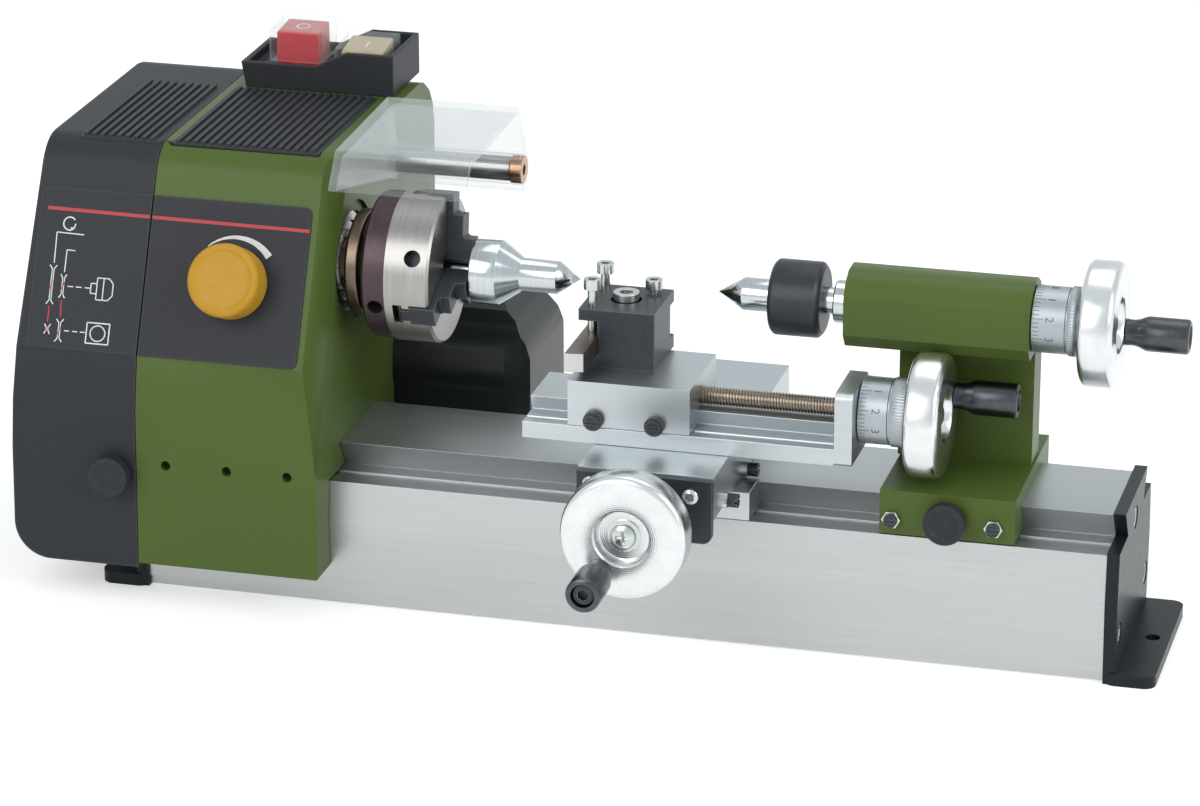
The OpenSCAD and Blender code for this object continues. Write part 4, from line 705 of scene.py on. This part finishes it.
fixings = dressed("cross_slide_fixings", "cross_slide_screws", 0.00012, zinc, "cross_slide", "zinc_steel")
blacken_past(fixings, axis=0, limit=0.03975)


# ---- Top slide ------------------------------------------------------------------------------
# The small slide on top of the cross slide: a base with a dovetail rail and an end bracket,
# and the slide itself, which carries the tool post. Black slotted screws press its gib.

dressed("top_slide_rail", "top_slide_base", 0.0003, milled, "cross_slide", "milled_metal")
dressed("top_slide_block", "top_slide", 0.0003, milled, "top_slide", "milled_metal")
dressed("gib_screws_top", "top_gib_screws", 0.00012, blackened, "top_slide", "black_steel")


# ---- Feed screws ----------------------------------------------------------------------------
# Three screws with a pitch of one millimetre move the cross slide, the top slide and the quill.
# The one on the top slide is in view between the slide and the bracket, oiled and brown.

# Oiled screw steel: warm brown with brighter patches of about 2.4 mm.
oiled, tree, shader, place = surface("oiled_screw_steel", 1.0, 0.30)
stain = add(tree, "TexNoise", values={"Scale": 420.0, "Detail": 3.0}, links={"Vector": place})
vary(tree, shader, stain.outputs["Fac"], "84776b", "aca093")
dressed("cross_screw", "cross_feed_screw", 0.0002, oiled, "cross_wheel", "bronze_steel")
dressed("quill_screw", "tailstock_feed_screw", 0.0002, oiled, "tail_wheel", "bronze_steel")

top_screw_y = -0.021
top_screw_z = 0.07965
core = turned("top_screw_core", (0.0, top_screw_y, top_screw_z), (1, 0, 0), (
    (-10.6, 0.0), (-10.6, 2.3), (-10.0, 2.45), (76.5, 2.45), (76.9, 2.9), (76.9, 4.4), (92.5, 4.4),
    (92.5, 2.5), (99.6, 2.5), (99.6, 0.0)), 48)
fitted(core, oiled, "top_wheel", "bronze_steel", "top_feed_screw")

thread_start = 0.012
thread_pitch = 0.001
thread_turns = 63
bpy.ops.object.select_all(action="DESELECT")
bpy.ops.mesh.primitive_plane_add(size=0.0001)
thread = bpy.context.object
thread.name = "top_screw_thread"
bpy.ops.object.mode_set(mode="EDIT")
bpy.ops.mesh.merge(type="CENTER")
bpy.ops.transform.translate(value=(0.0, 0.0, 0.0024))
for step in ((0.00012, 0.0), (0.0003, 0.0005), (0.00016, 0.0), (0.0003, -0.0005), (0.00012, 0.0)):
    bpy.ops.mesh.extrude_vertices_move(TRANSFORM_OT_translate={"value": (step[0], 0.0, step[1])})
bpy.ops.object.mode_set(mode="OBJECT")
helix = thread.modifiers.new("helix", "SCREW")
helix.axis = "X"
helix.angle = math.tau
helix.screw_offset = thread_pitch
helix.iterations = thread_turns
helix.steps = 24
helix.render_steps = 24
helix.use_merge_vertices = True
helix.merge_threshold = 0.000005
bpy.ops.object.modifier_apply(modifier="helix")
bpy.ops.object.mode_set(mode="EDIT")
bpy.ops.mesh.select_all(action="SELECT")
bpy.ops.mesh.remove_doubles(threshold=0.000003)
bpy.ops.mesh.fill_holes(sides=0)
bpy.ops.mesh.normals_make_consistent(inside=False)
bpy.ops.object.mode_set(mode="OBJECT")
bpy.ops.object.shade_smooth_by_angle(angle=math.radians(25))
thread.data.transform(Matrix.Translation((thread_start, top_screw_y, top_screw_z)))
fitted(thread, oiled, "top_wheel", "bronze_steel")


# ---- Tool post ------------------------------------------------------------------------------
# A block of blackened steel with a slot on two sides, held by one bolt in the middle.
# Three socket screws press the square tool bit into its slot.

dressed("tool_post_block", "tool_post", 0.00025, blackened, "tool_post", "black_steel")
dressed("tool_post_centre_bolt", "tool_post_bolt", 0.0002, zinc, "top_slide", "zinc_steel")
dressed("tool_clamp_screws", "tool_post_screws", 0.00015, zinc, "tool_post", "zinc_steel")

# Tool steel: ground grey ends, sides still brown from hardening.
tool_steel, tree, shader, place = surface("hardened_tool_steel", 0.9, 0.36)
scale = add(tree, "TexNoise", values={"Scale": 260.0, "Detail": 4.0}, links={"Vector": place})
shape = add(tree, "NewGeometry")
parts = add(tree, "SeparateXYZ", links={0: shape.outputs["Normal"]})
front = add(tree, "Math", {"operation": "ABSOLUTE"}, links={0: parts.outputs["Y"]})
brown = add(tree, "Mix", {"data_type": "RGBA"}, {6: linear("6b6058"), 7: linear("8a7c70")},
            {0: scale.outputs["Fac"]})
tint = add(tree, "Mix", {"data_type": "RGBA"}, {7: linear("c9c8c6")},
           {0: front.outputs[0], 6: brown.outputs[2]})
tree.links.new(tint.outputs[2], shader.inputs["Base Color"])
dressed("cutting_bit", "tool_bit", 0.0002, tool_steel, "tool_post", "bright_steel")


# ---- Tailstock ------------------------------------------------------------------------------
# One casting rides on the bed and holds the barrel with its sliding quill.
# It is painted like the headstock; slotted screws with nuts set its gib.

dressed("tailstock_casting", "tailstock_body", 0.0007, green, "tailstock", "green_paint", 3)
fixings = dressed("tailstock_fixings", "tailstock_gib_screws", 0.00012, zinc, "tailstock", "zinc_steel")
blacken_past(fixings, axis=1, limit=0.03205)
dressed("quill_tube", "quill", 0.0003, polished, "quill", "bright_steel", flats=0)
sleeve = turned("live_centre_sleeve", (0.0, 0.0, spindle_height), (1, 0, 0), (
    (57.0, 0.0), (60.0, 0.0), (60.0, 10.2), (59.6, 10.9), (58.9, 11.7), (58.4, 12.0), (45.2, 12.0),
    (44.6, 11.8), (43.8, 11.0), (43.5, 10.4), (43.5, 4.1), (57.0, 4.1), (57.0, 0.0)), 128)
fitted(sleeve, blackened, "quill", "black_steel", "live_centre_housing")
tip = turned("live_centre_tip", (0.0, 0.0, spindle_height), (1, 0, 0), (
    (25.7, 0.0), (33.8, 5.05), (34.2, 5.2), (43.0, 5.2), (43.2, 5.0), (43.2, 4.0), (56.8, 4.0),
    (56.8, 0.0)), 128)
fitted(tip, polished, "live_centre", "bright_steel", "live_centre_point")


# ---- Hand wheels, scale rings and grips -----------------------------------------------------
# Each feed screw ends in a scale ring, a turned aluminium wheel and a grip that spins on a bolt.
# The scale rings are engraved with marks and numbers, inked grey.

cross_screw_x = 0.0164
cross_screw_z = 0.05515

# Turned aluminium: bright and pale; the tool rings lie about 0.6 mm apart round each axis.
wheel_metal = {}
for wheel, centre, about in (("tail", (0.142, 0.0, spindle_height), "X"),
                             ("cross", (cross_screw_x, -0.075, cross_screw_z), "Y"),
                             ("top", (0.09, top_screw_y, top_screw_z), "X")):
    wheel_metal[wheel], tree, shader, place = surface(wheel + "_turned_aluminium", 1.0, 0.24)
    centred = add(tree, "Mapping", values={"Location": tuple(-value for value in centre)},
                  links={"Vector": place})
    rings = add(tree, "TexWave", {"wave_type": "RINGS", "rings_direction": about},
                {"Scale": 520.0, "Distortion": 0.6, "Detail": 1.0}, {"Vector": centred.outputs[0]})
    cloud = add(tree, "TexNoise", values={"Scale": 180.0, "Detail": 2.0}, links={"Vector": place})
    vary(tree, shader, cloud.outputs["Fac"], "d0d3d4", "e9eaea")
    sheen = add(tree, "MapRange", values={"To Min": 0.18, "To Max": 0.30},
                links={"Value": rings.outputs["Fac"]})
    tree.links.new(sheen.outputs[0], shader.inputs["Roughness"])
    relief = add(tree, "Bump", values={"Strength": 0.08, "Distance": 0.0001},
                 links={"Height": rings.outputs["Fac"]})
    tree.links.new(relief.outputs[0], shader.inputs["Normal"])

# Gunmetal finish on the grips: dark steel, satin, with a streak of light along them.
gunmetal, tree, shader, place = surface("gunmetal_grip", 1.0, 0.30)
patch = add(tree, "TexNoise", values={"Scale": 380.0, "Detail": 3.0}, links={"Vector": place})
vary(tree, shader, patch.outputs["Fac"], "45484b", "5d6063")

# Engraved lines filled with grey paint, matt.
filled, tree, shader, place = surface("grey_filled_engraving", 0.0, 0.55)
speck = add(tree, "TexNoise", values={"Scale": 1500.0}, links={"Vector": place})
vary(tree, shader, speck.outputs["Fac"], "5f6b70", "7d888c")

# Satin scale rings: duller and greyer than the wheels, so that the engraving can be read.
dull, tree, shader, place = surface("satin_scale_aluminium", 1.0, 0.42)
blast = add(tree, "TexNoise", values={"Scale": 2400.0}, links={"Vector": place})
vary(tree, shader, blast.outputs["Fac"], "9fa6aa", "b4babd")


def cut(piece, tool):
    """Cut one closed shape out of a piece, and throw the shape away."""
    only(piece)
    gap = piece.modifiers.new("gap", "BOOLEAN")
    gap.operation = "DIFFERENCE"
    gap.solver = "EXACT"
    gap.object = tool
    bpy.ops.object.modifier_apply(modifier="gap")
    bpy.data.objects.remove(tool)
    bpy.ops.object.shade_smooth_by_angle(angle=math.radians(28))


def cross_cutter(centre, way, arm, width, depth):
    """The two crossed bars that a driver's recess is cut with, across the axis way."""
    turn = Vector((0.0, 0.0, 1.0)).rotation_difference(Vector(way)).to_matrix().to_4x4()
    bars = []
    for size in ((arm, width), (width, arm)):
        bpy.ops.mesh.primitive_cube_add(size=1.0)
        bar = bpy.context.object
        bar.data.transform(Matrix.Translation(centre) @ turn @ Matrix.Diagonal((*size, depth, 1.0)))
        bars.append(bar)
    both = bars[0].modifiers.new("both", "BOOLEAN")
    both.operation = "UNION"
    both.object = bars[1]
    only(bars[0])
    bpy.ops.object.modifier_apply(modifier="both")
    bpy.data.objects.remove(bars[1])
    return bars[0]


def scale_ring(name, body, solid, start, way, scale, total, end_radius):
    """A scale ring with a grooved gripping ring, its marks and its numbers. It starts at a point in
    metres; the length of its scale, its whole length and the radius of its end are in millimetres."""
    way = Vector(way)
    ring_piece = turned(name, start, way, (
        (0.0, 4.45), (0.0, 10.3), (0.2, 10.5), (scale - 0.25, 10.5), (scale - 0.05, 10.1),
        (scale + 0.3, 10.1), (scale + 0.5, 10.9), (total - 0.4, end_radius), (total, end_radius - 0.4),
        (total, 4.45), (0.0, 4.45)), 72)
    bpy.ops.object.mode_set(mode="EDIT")
    bpy.ops.mesh.select_all(action="DESELECT")
    bpy.ops.object.mode_set(mode="OBJECT")
    for face in ring_piece.data.polygons:
        along = (face.center - Vector(start)).dot(way) * 1000
        out = ((face.center - Vector(start)) - way * along / 1000).length * 1000
        face.select = scale + 0.55 < along < total - 0.45 and out > 10.0
    bpy.ops.object.mode_set(mode="EDIT")
    bpy.ops.mesh.select_mode(type="FACE")
    bpy.ops.mesh.inset(thickness=0.00016, depth=-0.00016, use_individual=True)
    bpy.ops.object.mode_set(mode="OBJECT")
    fitted(ring_piece, dull, body, "turned_metal", solid)

    radius = 0.0105
    long_mark = 0.0034
    short_mark = 0.0020
    divisions = 50
    side = Vector((0.0, 0.0, 1.0))
    across = way.cross(side)
    marks = []
    for step in range(divisions):
        angle = math.tau * step / divisions
        out = side * math.cos(angle) + across * math.sin(angle)
        reach = long_mark if step % 5 == 0 else short_mark
        bpy.ops.mesh.primitive_cube_add(size=1.0)
        mark = bpy.context.object
        turn = Matrix((way, out, way.cross(out))).transposed().to_4x4()
        middle = Vector(start) + way * (0.0004 + reach / 2) + out * radius
        bar = Matrix.Diagonal((reach, 0.00008, 0.00022, 1.0))
        mark.data.transform(Matrix.Translation(middle) @ turn @ bar)
        marks.append(mark)
        if step % 5 == 0:
            bpy.ops.object.text_add()
            digit = bpy.context.object
            digit.data.body = str(step // 5)
            digit.data.size = 0.0036
            digit.data.align_x = "CENTER"
            digit.data.extrude = 0.00004
            bpy.ops.object.convert(target="MESH")
            for point in digit.data.vertices:
                bent = angle + point.co.x / radius
                out = side * math.cos(bent) + across * math.sin(bent)
                height = radius + 0.00005 + point.co.z
                point.co = Vector(start) + way * (0.0045 + point.co.y) + out * height
            marks.append(digit)
    bpy.ops.object.select_all(action="DESELECT")
    for mark in marks:
        mark.select_set(True)
    bpy.context.view_layer.objects.active = marks[0]
    bpy.ops.object.join()
    marks[0].name = name + "_engraving"
    fitted(marks[0], filled, body, "turned_metal")


def hand_wheel(wheel, solids, face, way, radius, thick, grip_at):
    """A wheel with its hub screw, and the grip with the bolt that it spins on."""
    way = Vector(way)
    face = Vector(face)
    r = radius
    rim = turned(wheel + "_wheel_rim", face, way, (
        (-thick - 1.9, 4.5), (-thick - 1.9, 8.9), (-thick - 1.6, 9.2), (-thick - 0.7, 9.5),
        (-thick - 0.2, 10.0), (-thick, 10.8), (-thick, r - 2.2), (-thick + 0.15, r - 1.5),
        (-thick + 0.6, r - 0.7), (-thick + 1.3, r - 0.2), (-thick + 2.1, r), (-2.1, r), (-1.3, r - 0.2),
        (-0.6, r - 0.7), (-0.15, r - 1.5), (0.0, r - 2.2), (0.0, 9.4), (-0.15, 9.0), (-0.5, 8.7),
        (-3.4, 8.0), (-3.6, 7.7), (-3.6, 2.6), (-thick, 2.6),
        (-thick, 4.5), (-thick - 1.9, 4.5)), 128)
    fitted(rim, wheel_metal[wheel], wheel + "_wheel", "turned_metal", solids[0])
    screw = turned(wheel + "_hub_screw", face, way, (
        (-3.7, 0.0), (-3.7, 5.2), (-3.1, 5.2), (-3.0, 5.0), (-3.0, 3.9), (-2.7, 3.9), (-2.0, 3.6),
        (-1.4, 2.7), (-1.1, 1.5), (-1.0, 0.0)), 48)
    fitted(screw, zinc, wheel + "_wheel", "zinc_steel")
    cut(screw, cross_cutter(face - way * 0.0012, way, 0.0044, 0.0010, 0.0018))

    centre = face + Vector(grip_at) / 1000
    sleeve_piece = turned(wheel + "_grip_sleeve", centre, way, (
        (0.15, 2.3), (0.15, 4.0), (0.35, 4.2), (2.6, 4.05), (4.2, 4.4), (6.0, 5.2), (7.0, 5.5), (19.2, 5.5),
        (19.7, 5.3), (20.1, 4.7), (20.1, 3.7), (19.9, 3.6), (16.1, 3.6), (16.1, 2.3), (0.15, 2.3)), 64)
    fitted(sleeve_piece, gunmetal, wheel + "_grip", "grip_metal", solids[1])
    bolt = turned(wheel + "_grip_bolt", centre, way, (
        (-3.0, 0.0), (-3.0, 2.2), (16.2, 2.2), (16.2, 3.3), (18.7, 3.3), (19.0, 3.0), (19.0, 0.0)), 48)
    fitted(bolt, blackened, wheel + "_wheel", "black_steel")
    bpy.ops.mesh.primitive_cylinder_add(vertices=6, radius=0.0019, depth=0.004)
    hexagon = bpy.context.object
    turn = Vector((0.0, 0.0, 1.0)).rotation_difference(way).to_matrix().to_4x4()
    hexagon.data.transform(Matrix.Translation(centre + way * 0.019) @ turn)
    cut(bolt, hexagon)


scale_ring("tail_scale_ring", "tail_dial", "tailstock_dial", (0.12655, 0.0, spindle_height), (1, 0, 0),
           10.6, 13.6, 10.9)
hand_wheel("tail", ("tailstock_handwheel", "tailstock_handle"), (0.153, 0.0, spindle_height), (1, 0, 0),
           19.8, 11.0, (0.0, 11.0, -5.9))
scale_ring("cross_scale_ring", "cross_dial", "cross_dial", (cross_screw_x, -0.05895, cross_screw_z),
           (0, -1, 0), 10.0, 15.8, 10.5)
hand_wheel("cross", ("cross_handwheel", "cross_handle"), (cross_screw_x, -0.086, cross_screw_z), (0, -1, 0),
           19.8, 11.0, (-6.9, 0.0, -11.3))
scale_ring("top_scale_ring", "top_dial", "top_dial", (0.07705, top_screw_y, top_screw_z), (1, 0, 0),
           9.4, 15.0, 10.9)
hand_wheel("top", ("top_handwheel", "top_handle"), (0.1033, top_screw_y, top_screw_z), (1, 0, 0),
           19.5, 10.8, (0.0, 12.5, 2.5))
